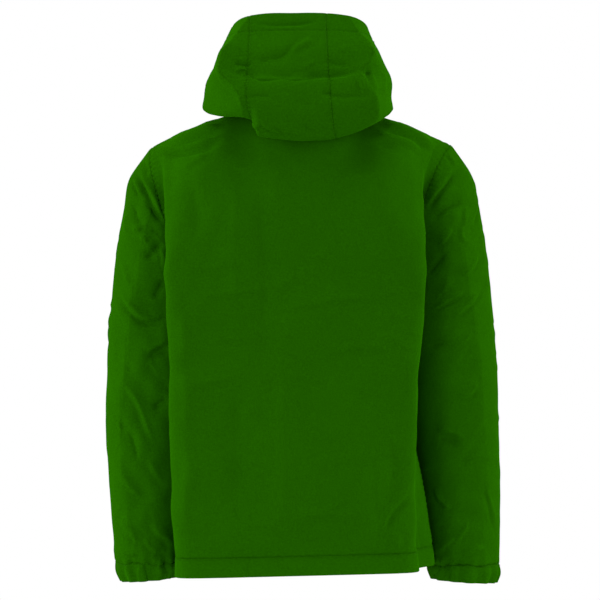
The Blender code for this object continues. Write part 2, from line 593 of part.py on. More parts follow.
# ------------------------------------------------------------------ zip
def tape_grid(front, hood, side):
    """One tape: three points a row, behind the edge of the front and hood on its own side.

    They are the edge's points, those beyond it at the teeth and those on the cloth beside it, all moved in
    along the cloth's own normal.
    """
    middle = front.shape[1] // 2
    edge_column, beside_column = (middle, middle + 1) if side > 0 else (middle - 1, middle - 2)
    hood_edge, hood_beside = (0, 1) if side > 0 else (-1, -2)
    foot = BODY_ROWS.index(ZIP_FOOT_Z) - 1
    edge = np.concatenate([front[foot:, edge_column], hood[2::2, hood_edge]])
    beside = np.concatenate([front[foot:, beside_column], hood[2::2, hood_beside]])
    edge[0] += (edge[1] - edge[0]) * (1.0 - TAPE_TAIL)
    beside[0] += (beside[1] - beside[0]) * (1.0 - TAPE_TAIL)
    reach = (TAPE_REACH - ZIP_SLOT_HALF) / np.abs(beside[:, :1] - edge[:, :1])
    outer = edge + (beside - edge) * reach
    inward = unit(np.cross(unit(np.gradient(edge, axis=0)), outer - edge) * side)
    grid = np.stack([edge, edge, outer], axis=1) + inward[:, None] * TAPE_DEPTH
    grid[:, 0, 0] = side * (CHAIN_HALF + SEAM_GAP)
    return grid


def chain_grid(tape):
    """The closed teeth: a strip between the two tapes from above the stop up into the slider."""
    run = tape[:, 0]
    top = SLIDER_Z + CHAIN_IN_SLIDER
    foot = ZIP_FOOT_Z + CHAIN_FOOT
    between = run[(run[:, 2] > foot + 1.0) & (run[:, 2] < top - 1.0), 2]
    heights = np.concatenate([[foot], between, [top]])
    depths = np.interp(heights, run[:, 2], run[:, 1])
    half = np.full_like(heights, CHAIN_HALF)
    return np.stack([np.stack([-half, depths, heights], -1), np.stack([half, depths, heights], -1)], axis=1)


def make_slider(depth):
    """Two plates joined by a post above the teeth, with a bridge in front that holds the pull tab."""
    width, thick, height = SLIDER_SIZE
    plate = SLIDER_MOUTH / 2 + thick / 2
    slider = block("zip_slider", SLIDER_SIZE, (0.0, depth - plate, SLIDER_Z), BRASS)
    join(slider, "back_plate", "UNION", SLIDER_SIZE, (0.0, depth + plate, SLIDER_Z))
    post_height = POST_SPAN[1] - POST_SPAN[0]
    join(slider, "post", "UNION", (POST_WIDTH, SLIDER_MOUTH + thick, post_height),
         (0.0, depth, SLIDER_Z + POST_SPAN[0] + post_height / 2))
    face = depth - SLIDER_MOUTH / 2 - thick
    join(slider, "bridge", "UNION", (BRIDGE_SIZE[0], BRIDGE_SIZE[1] + thick / 2, BRIDGE_SIZE[2]),
         (0.0, face - BRIDGE_SIZE[1] / 2 + thick / 4, SLIDER_Z))
    eye = BRIDGE_SIZE[1] - BRIDGE_WALL
    join(slider, "bridge_eye", "DIFFERENCE", (2 * BRIDGE_SIZE[0], eye, BRIDGE_SIZE[2] - 2 * BRIDGE_WALL),
         (0.0, face - eye / 2, SLIDER_Z), bevel=0.0)
    make_pull_tab((0.0, face - PIVOT_HEIGHT, SLIDER_Z))


def make_pull_tab(pivot):
    """A flat tab with a hole for the bridge, cut from an outline. Its origin is on the axis it swings on."""
    half_neck = TAB_NECK_WIDTH / 2
    half_width = TAB_WIDTH / 2
    half_eye = TAB_EYE_WIDTH / 2
    top = TAB_THICK / 2
    corner = half_width - half_neck
    outline = ((-half_neck, top), (half_neck, top), (half_neck, -TAB_EYE_FOOT),
               (half_width, -TAB_EYE_FOOT - corner), (half_width, -TAB_FOOT + corner),
               (half_width - corner, -TAB_FOOT), (corner - half_width, -TAB_FOOT),
               (-half_width, -TAB_FOOT + corner), (-half_width, -TAB_EYE_FOOT - corner),
               (-half_neck, -TAB_EYE_FOOT))
    eye = ((-half_eye, -top), (-half_eye, -TAB_EYE_FOOT), (half_eye, -TAB_EYE_FOOT), (half_eye, -top))
    curve = bpy.data.curves.new("pull_tab_outline", "CURVE")
    curve.dimensions = "2D"
    curve.fill_mode = "BOTH"
    curve.extrude = TAB_THICK / 2 * MM
    for corners in (outline, eye):
        spline = curve.splines.new("POLY")
        spline.points.add(len(corners) - 1)
        spline.use_cyclic_u = True
        for point, (x, z) in zip(spline.points, corners):
            point.co = (x * MM, z * MM, 0.0, 1.0)
    guide = bpy.data.objects.new("pull_tab_outline", curve)
    bpy.data.collections["guides"].objects.link(guide)
    bpy.context.view_layer.update()
    mesh = bpy.data.meshes.new_from_object(guide)
    bpy.data.objects.remove(guide, do_unlink=True)
    tab = bmesh.new()
    tab.from_mesh(mesh)
    bmesh.ops.remove_doubles(tab, verts=tab.verts, dist=1e-6)
    bmesh.ops.recalc_face_normals(tab, faces=tab.faces)
    tab.to_mesh(mesh)
    tab.free()
    thing = place("pull_tab", mesh, BRASS, METAL_ROUGHNESS, 1.0)
    thing.rotation_euler = (math.pi / 2, 0.0, 0.0)
    thing.location = tuple(value * MM for value in pivot)
    soften(thing)


# ------------------------------------------------------------------ building the objects
def material(name, colour, roughness, metallic):
    """Principled finish with one colour."""
    finish = bpy.data.materials.new(name)
    finish.use_nodes = True
    shader = finish.node_tree.nodes["Principled BSDF"]
    shader.inputs["Base Color"].default_value = colour
    shader.inputs["Roughness"].default_value = roughness
    shader.inputs["Metallic"].default_value = metallic
    return finish


def place(name, mesh, colour, roughness=CLOTH_ROUGHNESS, metallic=0.0):
    """Link a mesh as a named object with its own material."""
    thing = bpy.data.objects.new(name, mesh)
    bpy.data.collections["anorak"].objects.link(thing)
    mesh.materials.append(material(name + "_finish", colour, roughness, metallic))
    return thing


def block_mesh(name, size, centre, bevel):
    """A rectangular block with softened edges."""
    shape = bmesh.new()
    bmesh.ops.create_cube(shape, size=1.0)
    bmesh.ops.scale(shape, vec=tuple(side * MM for side in size), verts=shape.verts)
    if bevel:
        bmesh.ops.bevel(shape, geom=shape.edges[:], offset=bevel * MM, segments=1, affect="EDGES")
    bmesh.ops.translate(shape, vec=tuple(value * MM for value in centre), verts=shape.verts)
    mesh = bpy.data.meshes.new(name)
    shape.to_mesh(mesh)
    shape.free()
    return mesh


def block(name, size, centre, colour):
    """A metal block."""
    return place(name, block_mesh(name, size, centre, HARD_BEVEL), colour, METAL_ROUGHNESS, 1.0)


def join(thing, name, operation, size, centre, bevel=HARD_BEVEL):
    """Add a block to a metal piece, or cut one out of it."""
    operand = bpy.data.objects.new(name, block_mesh(name, size, centre, bevel))
    bpy.data.collections["guides"].objects.link(operand)
    operand.hide_render = True
    operand.display_type = "WIRE"
    step = thing.modifiers.new(name, "BOOLEAN")
    step.operation = operation
    step.solver = "EXACT"
    step.object = operand


def soften(thing):
    """Bevel a flat metal piece's edges."""
    step = thing.modifiers.new("edges", "BEVEL")
    step.width = HARD_BEVEL * MM
    step.segments = 1


def cloth(name, grid, wall, colour, wrap=False, missing=frozenset(), flip=False):
    """A wall of cloth: faces between the rows and columns of a grid, given thickness by Solidify."""
    rows, columns = grid.shape[:2]
    count = columns if wrap else columns - 1
    faces = []
    for r in range(rows - 1):
        for c in range(count):
            if (r, c) not in missing:
                d = (c + 1) % columns
                loop = (r * columns + c, r * columns + d, (r + 1) * columns + d, (r + 1) * columns + c)
                faces.append(loop if not flip else loop[::-1])
    mesh = bpy.data.meshes.new(name)
    mesh.from_pydata((grid.reshape(-1, 3) * MM).tolist(), [], faces)
    shell = bmesh.new()
    shell.from_mesh(mesh)
    bmesh.ops.delete(shell, geom=[v for v in shell.verts if not v.link_faces], context="VERTS")
    shell.to_mesh(mesh)
    shell.free()
    mesh.shade_smooth()
    thing = place(name, mesh, colour)
    solid = thing.modifiers.new("wall", "SOLIDIFY")
    solid.thickness = wall * MM
    solid.offset = 0.0
    return thing


def main():
    """Clear the scene, work out the sheets, part them at the seams and build every piece."""
    for thing in list(bpy.data.objects):
        bpy.data.objects.remove(thing, do_unlink=True)
    for name in ("anorak", "guides"):
        bpy.context.scene.collection.children.link(bpy.data.collections.new(name))

    back = panel_grid("back")
    front = panel_grid("front")
    hem = hem_grid()
    hood = hood_grid()
    sleeves = {1.0: sleeve_grid(1.0, SLEEVE_LEFT), -1.0: sleeve_grid(-1.0, SLEEVE_RIGHT)}
    part_side_and_shoulder_seams(back, front)
    part_neck_seam(back, front, hood)
    part_hem_seam(back, front, hem)
    for side, sleeve in sleeves.items():
        part_armhole(back, front, sleeve, side)

    cloth("back_panel", back, CLOTH, GREEN)
    middle = front.shape[1] // 2 - 1
    foot = BODY_ROWS.index(ZIP_FOOT_Z)
    opening = {(row, middle) for row in range(foot, front.shape[0] - 1)}
    cloth("front_panel", front, CLOTH, GREEN, missing=opening, flip=True)
    cloth("hem_band", hem, BAND, GREEN, wrap=True)
    cloth("sleeve_left", sleeves[1.0][::-1], CLOTH, GREEN, wrap=True)
    cloth("sleeve_right", sleeves[-1.0][::-1], CLOTH, GREEN, wrap=True, flip=True)
    cloth("cuff_left", cuff_grid(1.0, CUFF_LEFT)[::-1], BAND, GREEN, wrap=True)
    cloth("cuff_right", cuff_grid(-1.0, CUFF_RIGHT)[::-1], BAND, GREEN, wrap=True, flip=True)
    left, centre, right = hood_pieces(hood)
    cloth("hood_side_left", left, CLOTH, GREEN, flip=True)
    cloth("hood_centre", centre, CLOTH, GREEN, flip=True)
    cloth("hood_side_right", right, CLOTH, GREEN, flip=True)

    tape = tape_grid(front, hood, 1.0)
    cloth("zip_tape_left", tape, TAPE, DARK_GREEN, flip=True)
    cloth("zip_tape_right", tape_grid(front, hood, -1.0), TAPE, DARK_GREEN)
    chain = chain_grid(tape)
    cloth("zip_teeth", chain, CHAIN_THICK, BRASS)
    stop_depth = chain[0, 0, 1] - TAPE / 2 - SEAM_GAP - STOP_SIZE[1] / 2
    block("zip_stop", STOP_SIZE, (0.0, stop_depth, ZIP_FOOT_Z + STOP_HEIGHT), BRASS)
    make_slider(chain[-1, 0, 1])


main()
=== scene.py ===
"""A hooded pullover anorak in dark green plain-woven cloth, filled out as if worn by nobody.

Metres, +Z up. The front faces -Y and the wearer's left is +X. The origin is the middle of the neck. The
tables and shape functions work in millimetres, and the functions that make meshes turn them into metres.

Every cloth piece is a grid of points on its middle surface. Each point is then moved along the cloth's own
normal by a relief: creases, seam grooves with their puckers, and a slow unevenness.
"""

import math
from collections import namedtuple

import bpy
import numpy as np
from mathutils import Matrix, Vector


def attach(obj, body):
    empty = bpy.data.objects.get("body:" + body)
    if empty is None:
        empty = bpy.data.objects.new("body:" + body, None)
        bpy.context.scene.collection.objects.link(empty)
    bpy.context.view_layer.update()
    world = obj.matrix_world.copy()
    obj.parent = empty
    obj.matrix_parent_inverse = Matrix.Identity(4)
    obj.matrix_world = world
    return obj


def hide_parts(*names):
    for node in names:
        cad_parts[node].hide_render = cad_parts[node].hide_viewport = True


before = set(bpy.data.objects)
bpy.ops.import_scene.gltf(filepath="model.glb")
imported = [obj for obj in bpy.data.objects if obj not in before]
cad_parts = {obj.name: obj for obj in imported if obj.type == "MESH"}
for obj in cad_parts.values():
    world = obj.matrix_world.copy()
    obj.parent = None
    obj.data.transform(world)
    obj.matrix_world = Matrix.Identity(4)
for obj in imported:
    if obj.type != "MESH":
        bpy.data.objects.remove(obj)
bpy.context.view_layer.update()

# ------------------------------------------------------------------ sizes, in millimetres
MM = 0.001

CLOTH = 1.1                 # shell cloth
TAPE = 0.9                  # zip tape
BAND = 2.2                  # hem band and cuffs, folded double

NECK_HALF_WIDTH = 82.0
SHOULDER_POINT_LEFT = (231.6, -8.0, -55.6)
SHOULDER_POINT_RIGHT = (235.0, -8.0, -51.1)
ARMPIT_Z = -252.0
HEM_TOP_Z = -676.5          # where the panels end and the hem band begins
HEM_BAND = 28.5             # height of the hem band
HEM_TILT = -0.025           # the hem hangs this much lower for each millimetre to the left
HEM_TILT_ENDS = -330.0      # above this height the sections are level
HEM_TILT_GROWS = 300.0      # height over which the tilt grows to its full value
SHOULDER_TURN = 0.94        # share of the shoulder seam that lies inside the roll
SHOULDER_BOW = 4.5          # how far the shoulder seam bows up between the neck and the shoulder point

ZIP_SLOT_HALF = 5.0         # half the gap between the front edges
ZIP_FOOT_Z = -305.0         # lower end of the front opening
CHAIN_HALF = 2.3            # half the width of the closed teeth
TAPE_REACH = 11.0           # how far from the middle a tape reaches behind the front
TAPE_DEPTH = 1.85           # from the middle of the front's wall to the middle of the tape
TOOTH_HOLD = 0.6            # how far a tape reaches in between the teeth
TEETH_ENDS = (6.0, 1.0)     # how far above the slot's foot the teeth begin, and above SLIDER_Z they end
SLIDER_Z = -26.0

MIDDLE_ROUNDING = 0.06      # of a panel's width: the speeds of its columns are level in its middle
NECK_SHARE = 0.22           # end of the neckline, start of the shoulder seam, as a share of a panel's width
ROLL_SHARE = 0.75           # where the panel rolls over towards the arm

CAMERA_DISTANCE = 4000.0    # from the picture plane, which is Y = 0
CAMERA_Z = -291.4
FIELD = 930.0               # width and height of the picture at the picture plane

# ------------------------------------------------------------------ tables of the form, in millimetres
# Level sections of the body. back and chest are the middles of the two panels. Each panel is widest at its
# roll, then turns in to the side seam, where the arm presses the cloth.
BodySection = namedtuple(
    "BodySection",
    "z back back_roll_y back_left back_right seam_y seam_left seam_right"
    " chest_roll_y chest_left chest_right chest square_left square_right")
BODY = [BodySection(*row) for row in (
    (-710, 123, 58, 186, 177, 8, 178, 203, -62, 180, 194, -128, 7, 8),
    (-676, 122, 60, 188, 176, 8, 173, 204, -66, 179, 194, -132, 7, 8),
    (-640, 126, 62, 191, 175, 8, 168, 199, -72, 177, 190, -137, 7, 8),
    (-577, 127, 63, 194, 173, 8, 164, 189, -76, 175, 184, -139, 7, 9),
    (-535, 127, 63, 195, 175, 8, 162, 181, -78, 175, 180, -139, 7, 10),
    (-467, 126, 63, 196, 177, 8, 161, 169, -80, 174, 177, -138, 8, 12),
    (-387, 126, 63, 196, 179, 8, 160, 161, -82, 173, 175, -137, 9, 12),
    (-300, 127, 62, 201, 187, 4, 160, 158, -84, 174, 174, -137, 11, 12),
    (ARMPIT_Z, 127, 61, 204, 189, -2, 164, 162, -84, 178, 178, -136, 12, 12),
)]
FRONT_SQUARENESS = 3.6      # 2 is an ellipse; more is flatter in the middle and fuller at the roll

# Above the armpit each column of a panel is one cubic curve to the neckline or the shoulder seam. The table
# gives its speed where it leaves the armpit level (rise) and where it arrives (arrive). The wearer's right
# has its own x speeds, since the roll and the armhole lie further in there.
ColumnPull = namedtuple(
    "ColumnPull", "across rise_x rise_y rise_z arrive_x arrive_y arrive_z right_rise_x right_arrive_x")
BACK_COLUMNS = [ColumnPull(*row) for row in (
    (0.00, 0, 0, 230, 0, -120, 180, 0, 0),
    (NECK_SHARE, 0, 20, 255, -6, -265, 60, 0, -6),
    (0.30, 0, 30, 260, -2, -325, 30, 0, 0),
    (0.40, 0, 20, 262, -2, -310, 22, 0, 4),
    (0.50, 0, 0, 265, 0, -265, 20, 0, 10),
    (ROLL_SHARE, -10, 0, 190, 75, -220, 35, 0, 165),
    (1.00, 105, 160, 120, -20, -150, 90, 25, 110),
)]
FRONT_COLUMNS = [ColumnPull(*row) for row in (
    (0.00, 0, 0, 150, 0, 40, 150, 0, 0),
    (NECK_SHARE, 0, 0, 240, -6, 150, 110, 0, -6),
    (0.50, 0, 0, 265, 0, 225, 25, 0, 10),
    (ROLL_SHARE, -10, 0, 195, 75, 120, 35, 0, 150),
    (1.00, 85, -135, 120, -20, 140, 90, 25, 110),
)]

# Rings of the sleeves: the outer and inner end of each ring, its middle and half its depth.
SleeveRing = namedtuple("SleeveRing", "outer_x outer_z inner_x inner_z mid_y half_depth corner fold")
SLEEVE_LEFT = [SleeveRing(*row) for row in (
    (262, -99, 178, -258, -7, 46, 0.25, 0.6),
    (274, -150, 172, -280, -11, 52, 0.30, 0.6),
    (284, -212, 168, -312, -16, 57, 0.38, 0.6),
    (293, -285, 167, -360, -21, 62, 0.48, 0.6),
    (299.5, -375, 169, -425, -25, 63, 0.55, 0.5),
    (302.5, -465, 173, -497, -34, 60, 0.62, 0.4),
    (299.5, -560, 180, -578, -43, 56, 0.60, 0.35),
    (294, -640, 186, -648, -51, 50, 0.50, 0.35),
    (289, -701, 190, -701, -56, 44, 0.35, 0.3),
)]
SLEEVE_RIGHT = [SleeveRing(*row) for row in (
    (267, -101, 178, -256, -7, 46, 0.25, 0.5),
    (280, -156, 172, -280, -11, 52, 0.35, 0.5),
    (290, -218, 169, -312, -16, 57, 0.45, 0.5),
    (298, -290, 169, -360, -21, 62, 0.52, 0.4),
    (306, -380, 172, -425, -25, 63, 0.60, 0.3),
    (310, -480, 179, -505, -34, 60, 0.62, 0.25),
    (313, -570, 191, -585, -43, 56, 0.65, 0.2),
    (313, -645, 198, -652, -51, 51, 0.50, 0.2),
    (312, -704, 203, -704, -56, 46, 0.35, 0.2),
)]
CUFF_LEFT = [SleeveRing(*row) for row in (
    (288.5, -701.8, 190.5, -701.8, -56, 43.5, 0.35, 0.3),
    (287, -717, 190, -714, -56, 43, 0.30, 0.3),
    (280, -732, 195, -725, -56, 40, 0.25, 0.3),
)]
CUFF_RIGHT = [SleeveRing(*row) for row in (
    (311.5, -704.8, 203.5, -704.8, -56, 45.5, 0.35, 0.2),
    (312, -720, 202, -714, -56, 45, 0.30, 0.2),
    (307, -734, 207, -727, -56, 42, 0.25, 0.2),
)]
CUFF_GATHERS = 13           # puckers round an elastic cuff
CUFF_GATHER_SHARE = 0.04    # their depth, as a share of the cuff's half width
CUFF_GATHER_GROWTH = (0.6, 1.0, 1.4)    # of that, at each of the cuff's rings
SEAM_WAVE_REACH = 12.0      # how far from a cuff's seam its waves fade out

# Rings of the hood, in the order in which the cloth runs from the neck seam to the rim. Each has the height
# and depth of its front, side and back, its reach to the left and right, where the two long seams cross it,
# how square its back is, and how far its left quarter is hitched up.
HoodRing = namedtuple(
    "HoodRing",
    "front_y front_z side_y side_z back_y back_z left right seam_left seam_right square hitch"
    " folded fold_left fold_right dent")
HOOD = [HoodRing(*row) for row in (
    (-92, -72, -5, 14, 72, -8, 82, 82, 44, -30, 2.0, 0, 0, 66, 66, 0),            # neck seam
    (-94, -66, -5, 26, 80, 6, 90, 89, 50, -34, 2.0, 0, 0, 72, 72, 0),             # top of the stand
    (-96, -60, 0, 22, 97, -12, 110, 108, 58, -40, 2.0, 6, 0.2, 80, 88, 0),        # falls back
    (-98, -54, 4, 8, 119, -51, 129, 130, 70, -53, 2.0, 22, 0.7, 85, 108, 0),      # bottom fold
    (-99, -48, 10, 8, 134, -35, 149, 143, 76, -51, 2.1, 20, 1, 86, 116, 0),
    (-100, -42, 16, 26, 142, -5, 148, 141, 80, -48, 2.3, 8, 1, 90, 116, 0),       # lower tier
    (-101, -37, 20, 44, 137, 22, 145, 142, 81, -46, 2.3, 2, 1, 99, 106, 0),
    (-101, -33, 22, 57, 130, 40, 140, 139, 80, -45, 2.3, 0, 1, 116, 94, 0),
    (-101, -29, 22, 68, 124, 47, 134, 134, 80, -44, 2.3, 0, 1, 120, 92, 3),       # fold between tiers
    (-101, -26, 22, 78, 118, 63, 130, 129, 79, -43, 2.4, 0, 1, 119, 104, 2),      # upper tier
    (-101, -23, 22, 92, 108, 90, 123, 122, 78, -42, 2.5, 0, 1, 112, 109, 1),
    (-101, -18, 24, 106, 84, 118, 115, 113, 77, -41, 2.7, 0, 1, 95, 90, 0),       # rim stitching
    (-101, -12, 26, 119, 68, 146, 107, 105, 77, -40, 2.8, 0, 1, 75, 73, 0),       # rim
)]
CORNER_CRISPNESS = 1.12     # of a folded section: 1 is a sharp corner where the cloth turns away, 2 is none
SIDE_ROUNDNESS = 1.5        # how round the end of a folded section is, past its corner
SECTION_BOW = 0.05          # how much it bows between its corners
DENT_FADE = 30.0            # width over which the dent between the hood's tiers ends before the corners
SLEEVE_INSIDE = 2.5         # how full its inner half is: 2 is an ellipse
SIDE_SOFTNESS = 0.2         # how gradually a ring's front and back halves meet at its side
FRONT_HUG = 3.0             # how long the front of the hood hugs the neck before it spreads
HITCH_FROM_X = 62.0         # the hitch in the hood's left quarter grows from here
HITCH_TO_X = 74.0           # to here
HITCH_ENDS_X = 160.0        # and fades out towards here
HITCH_FADE = 80.0           # over this width
HITCH_REACH = 0.2           # cosine up to which the hitch reaches round to the front
FRONT_DROP = 4.0            # rings from the neck over which the front comes to hang straight down
FRONT_DROP_MOST = 1.7       # power of the cosine that shapes it there

# How finely each piece is cut.
BACK_COLUMNS_FINE = 196
BACK_ROWS = (136, 96)       # below the armpits, and above them
FRONT_COLUMNS_FINE = 152
FRONT_ROWS = (84, 56)
HEM_COLUMNS = (200, 160)    # along the back, and along the front
HEM_ROWS = 16
SLEEVE_COLUMNS = 150
SLEEVE_ROWS = 284
CUFF_COLUMNS = 208
CUFF_ROWS = 14
HOOD_COLUMNS = {"left": 112, "centre": 58, "right": 112}
HOOD_ROWS = 216
HOOD_CROWDING = 1.35        # power that draws the columns of the hood's sides towards the back
GIRTH_Z = -400.0            # the level at which the panels' columns are evenly spaced
ROLL_CLOSENESS = 1.4        # how much closer the back's columns lie at the rolls, where it turns sharply
ROLL_WIDTH = 0.09           # the width over which they do, as a share of the panel's
DENSER_AT_BACK = 0.5        # of a sleeve's columns: how much closer they lie at the back
CORNER_BLUR = 0.085         # width of the average taken below the corner between neckline and shoulder seam
CORNER_REACH = 0.14         # it is full up to 0.6 of this from the corner, and ends at 1.6 of it
CORNER_ENDS = (0.25, 0.10)  # share of the height over which it grows from below, and fades at the top
SLOT_SPREAD = 9.0           # how far from the zip the panel's columns are drawn aside
SLOT_COLUMNS = 3            # columns on either side of the slot that stay smooth, where the tape is sewn

# The relief.
SIDE_SHARE = 0.3            # of a crease's height on a sleeve's outer side, where the outline is smooth
OUTLINE_SHARE = 0.25        # of the unevenness, where the cloth turns edge-on to the camera
FRONT_SHARE = 0.5           # of the height of the back's creases, for those on the hidden front
CREST_ROUNDING = 0.3        # how round a crease's crest is, in widths
FINEST_CREST = 1.5          # no crest is rounded less than this, so that the grids can follow it
CREASE_MARGIN = 5.0         # in widths: a crease is nothing beyond this
CREASE_TAPER = 3.0          # a crease has its full height from one third of its length to two thirds
TROUGH_AWAY = 1.5           # in widths: where the trough on a crease's lower side lies
TROUGH_WIDTH = 1.1
FRONT_SHIFT = (22.0, 30.0)  # by which the back's creases are moved for the hidden front
SLEEVE_SHIFT = (14.0, 22.0)     # and a sleeve's
SIDE_MIDDLE = 255.0         # the x of a sleeve's creases that comes to lie in the middle of its outer side
SIDE_SHIFT = (25.0, 40.0)
SEAM_HOLD = 9.0             # how far from a seam creases reach their full height
GROOVE_WIDTH = 1.6          # of the groove in which a seam lies
PUCKER_FADE = 1.4           # power by which the puckers beside it fade out
ALL_EDGES = ("first_row", "last_row", "first_column", "last_column")
HOOD_CREASES_FROM = (2.2, 0.8)  # the ring of the hood where its creases begin, and over how many they grow
FAR = 99.0                  # farther than anything that fades out from a seam
# The darkening near seams is partly soiling and partly painted shade in the seam grooves.
SEAM_SHADE_REACH = 2.5            # how far from a seam the cloth is darker
BAND_SEAM_SHADE_REACH = 4.0       # and on a band
BAND_JOIN_X = 76.7          # where the ends of the hem band are joined
BAND_JOIN_GROOVE = 1.2
HEM_FLARE = 0.1             # how far the hem band stands out, for each millimetre below its seam
SLIGHT_TURN = 0.35          # how much the slopes of slight creases differ, in radians
SLIGHT_BEND = 0.15          # how much they bend, as a share of half their length
SLIGHT_WIDTHS = (3.2, 4.6)
SLIGHT_LEAN = 0.4

# Waves round a sleeve: their height, how many go round it, and their phase.
SEAM_WAVES = ((1.3, 5.0, 1.0), (0.8, 11.0, 2.0))    # a gathered cuff's seam wanders up and down
CUFF_WANDER = ((0.5, 2.0, 1.0), (0.35, 5.0, 2.0))   # no pucker of a cuff is quite like the next
SLEEVE_WANDER = ((0.5, 2.0, 1.0),)                  # nor is a gather of the sleeve above it
FINE_GATHERS = ((0.5, 21.0, 1.0),)
GATHER_HEIGHT = 1.4
GATHER_REACH = 16.0         # how far above the cuff the sleeve's gathers fade out
GATHER_FADE = 1.2           # power by which they do

STITCH = 2.6                # a stitch that shows
STITCH_PAUSE = 0.8          # between two stitches
THREAD = 0.6                # 0.35 mm thread, drawn thicker so that it shows
BAND_STITCH_AWAY = 2.2      # how far from a band's seam it is stitched
BAND_STITCH_LIFT = 0.42     # how high the thread lies on it, as a share of its thickness
HOOD_STITCH_AWAY = 2.4      # how far from the hood's long seams they are stitched
RIM_STITCH_WAY = 11.0       # the ring of the hood where its rim is stitched down
ZIP_STITCH_AWAY = 4.0       # how far from the edge of the slot the zip is sewn in
TOOTH_PITCH = 2.4
WEAVE = 0.7

CLOTH_DARK = "#1a4f00"
CLOTH_LIGHT = "#226000"
# darker green mixed in near seams: partly soiling and pressing, partly painted shade in the seam grooves
CLOTH_SEAM_SHADE = "#194c00"
GLINT = "#9cff30"           # what little light the cloth and the thread mirror
HALO = "#6aff10"            # what the fine hairs of the thread catch

FLOOR_Z = -0.90
FLOOR_RADIUS = 1.0
FLOOR_CORNERS = 96
AMBIENT = 0.36
LIT_PLACE = (0.0, 0.0, -0.3)
SOFTBOXES = (               # name, watts, width and height, place, in metres
    ("side_light_left", 44.0, (1.4, 2.6), (2.4, 0.0, 0.0)),
    ("side_light_right", 48.0, (1.4, 2.6), (-2.4, 0.0, 0.0)),
    ("front_light_left", 44.0, (1.0, 1.6), (1.7, 3.3, -0.4)),
    ("front_light_right", 16.0, (1.0, 1.6), (-0.7, 3.8, -0.5)),
    ("top_light", 36.0, (2.0, 2.0), (0.0, 0.3, 2.4)),
)

# Creases as the picture shows them, drawn in its plane. Each line of a table is one crease: its width, its
# height (negative for a trough), how deep the trough on its lower side is as a share of the height, and the
# corners of its line as x,z.
Crease = namedtuple("Crease", "width height lean line")


def creases(table):
    """The creases of a table that is written as text."""
    rows = [line.split() for line in table.split("\n")]
    return [Crease(*map(float, row[:3]), [tuple(map(float, corner.split(","))) for corner in row[3:]])
            for row in rows]


HOOD_CREASES = creases("""\
3.4 -5.4 0 130,50 124,53 102,54 88,56 80,62 73,56 57,50 25,54 5,51 -25,57 -43,57 -71,60 -91,65 -102,74 -114,87
2.2 -3.4 0 73,135 39,134 0,136.5 -26,139 -25,129
2.2 1.5 0.3 70,131 30,130 0,132 -22,134
2.6 -4.8 0 104,70 96,75 84,73 71,76
2.2 2.6 0.6 105,60 95,65 82,70
5.3 -4.2 0 78,74 50,81 25,87 14,101 2,112 -12,119 -25,124
3.3 3.5 0.5 12,87 5,98 -5,105 -17,115
4.0 -2.6 0 2,88 -9,98 -22,108 -28,121
2.4 1.9 0.4 -6,64 -14,73 -25,79
4.0 -3.2 0 -34,79 -46,76 -67,73 -84,67
2.2 -2.6 0 93,22 82,24 62,25 43,24
2.6 -2.9 0 -28,25 -40,28 -51,26 -70,24 -93,25 -116,23
2.6 -2.6 0 -31,29 -42,30 -53,28
11.9 -3.2 0 25,6 0,14 -29,6
2.9 3.2 0.7 -93,54 -96,42 -101,29
2.9 4.2 0.7 -112,77 -108,59 -115,40 -121,29
2.6 2.4 0.5 -129,65 -132,43 -127,25
2.2 3.6 0.8 64,-17 40,-29 16,-40
2.2 2.4 0.8 39,-19 26,-29 14,-39
2.2 2.2 0.6 26,-25 11,-33 -5,-38
2.2 -2.4 0 -5,-16 -17,-28 -33,-34
2.2 3.8 0.6 74,-14 71,-20 66,-25 64,-17
2.2 1.3 0.4 144,37 130,16 110,-8
2.2 1.1 0.4 136,53 121,31 99,11
3.4 4.2 0.4 93,122 105,108 119,96 125,77 125,64 121,51 112,40 99,33 93,23 91,12 84,-5
3.4 2.9 0.3 -95,121 -105,107 -115,88 -104,76 -88,65
2.9 -1.9 0 99,104 93,93 91,81""")
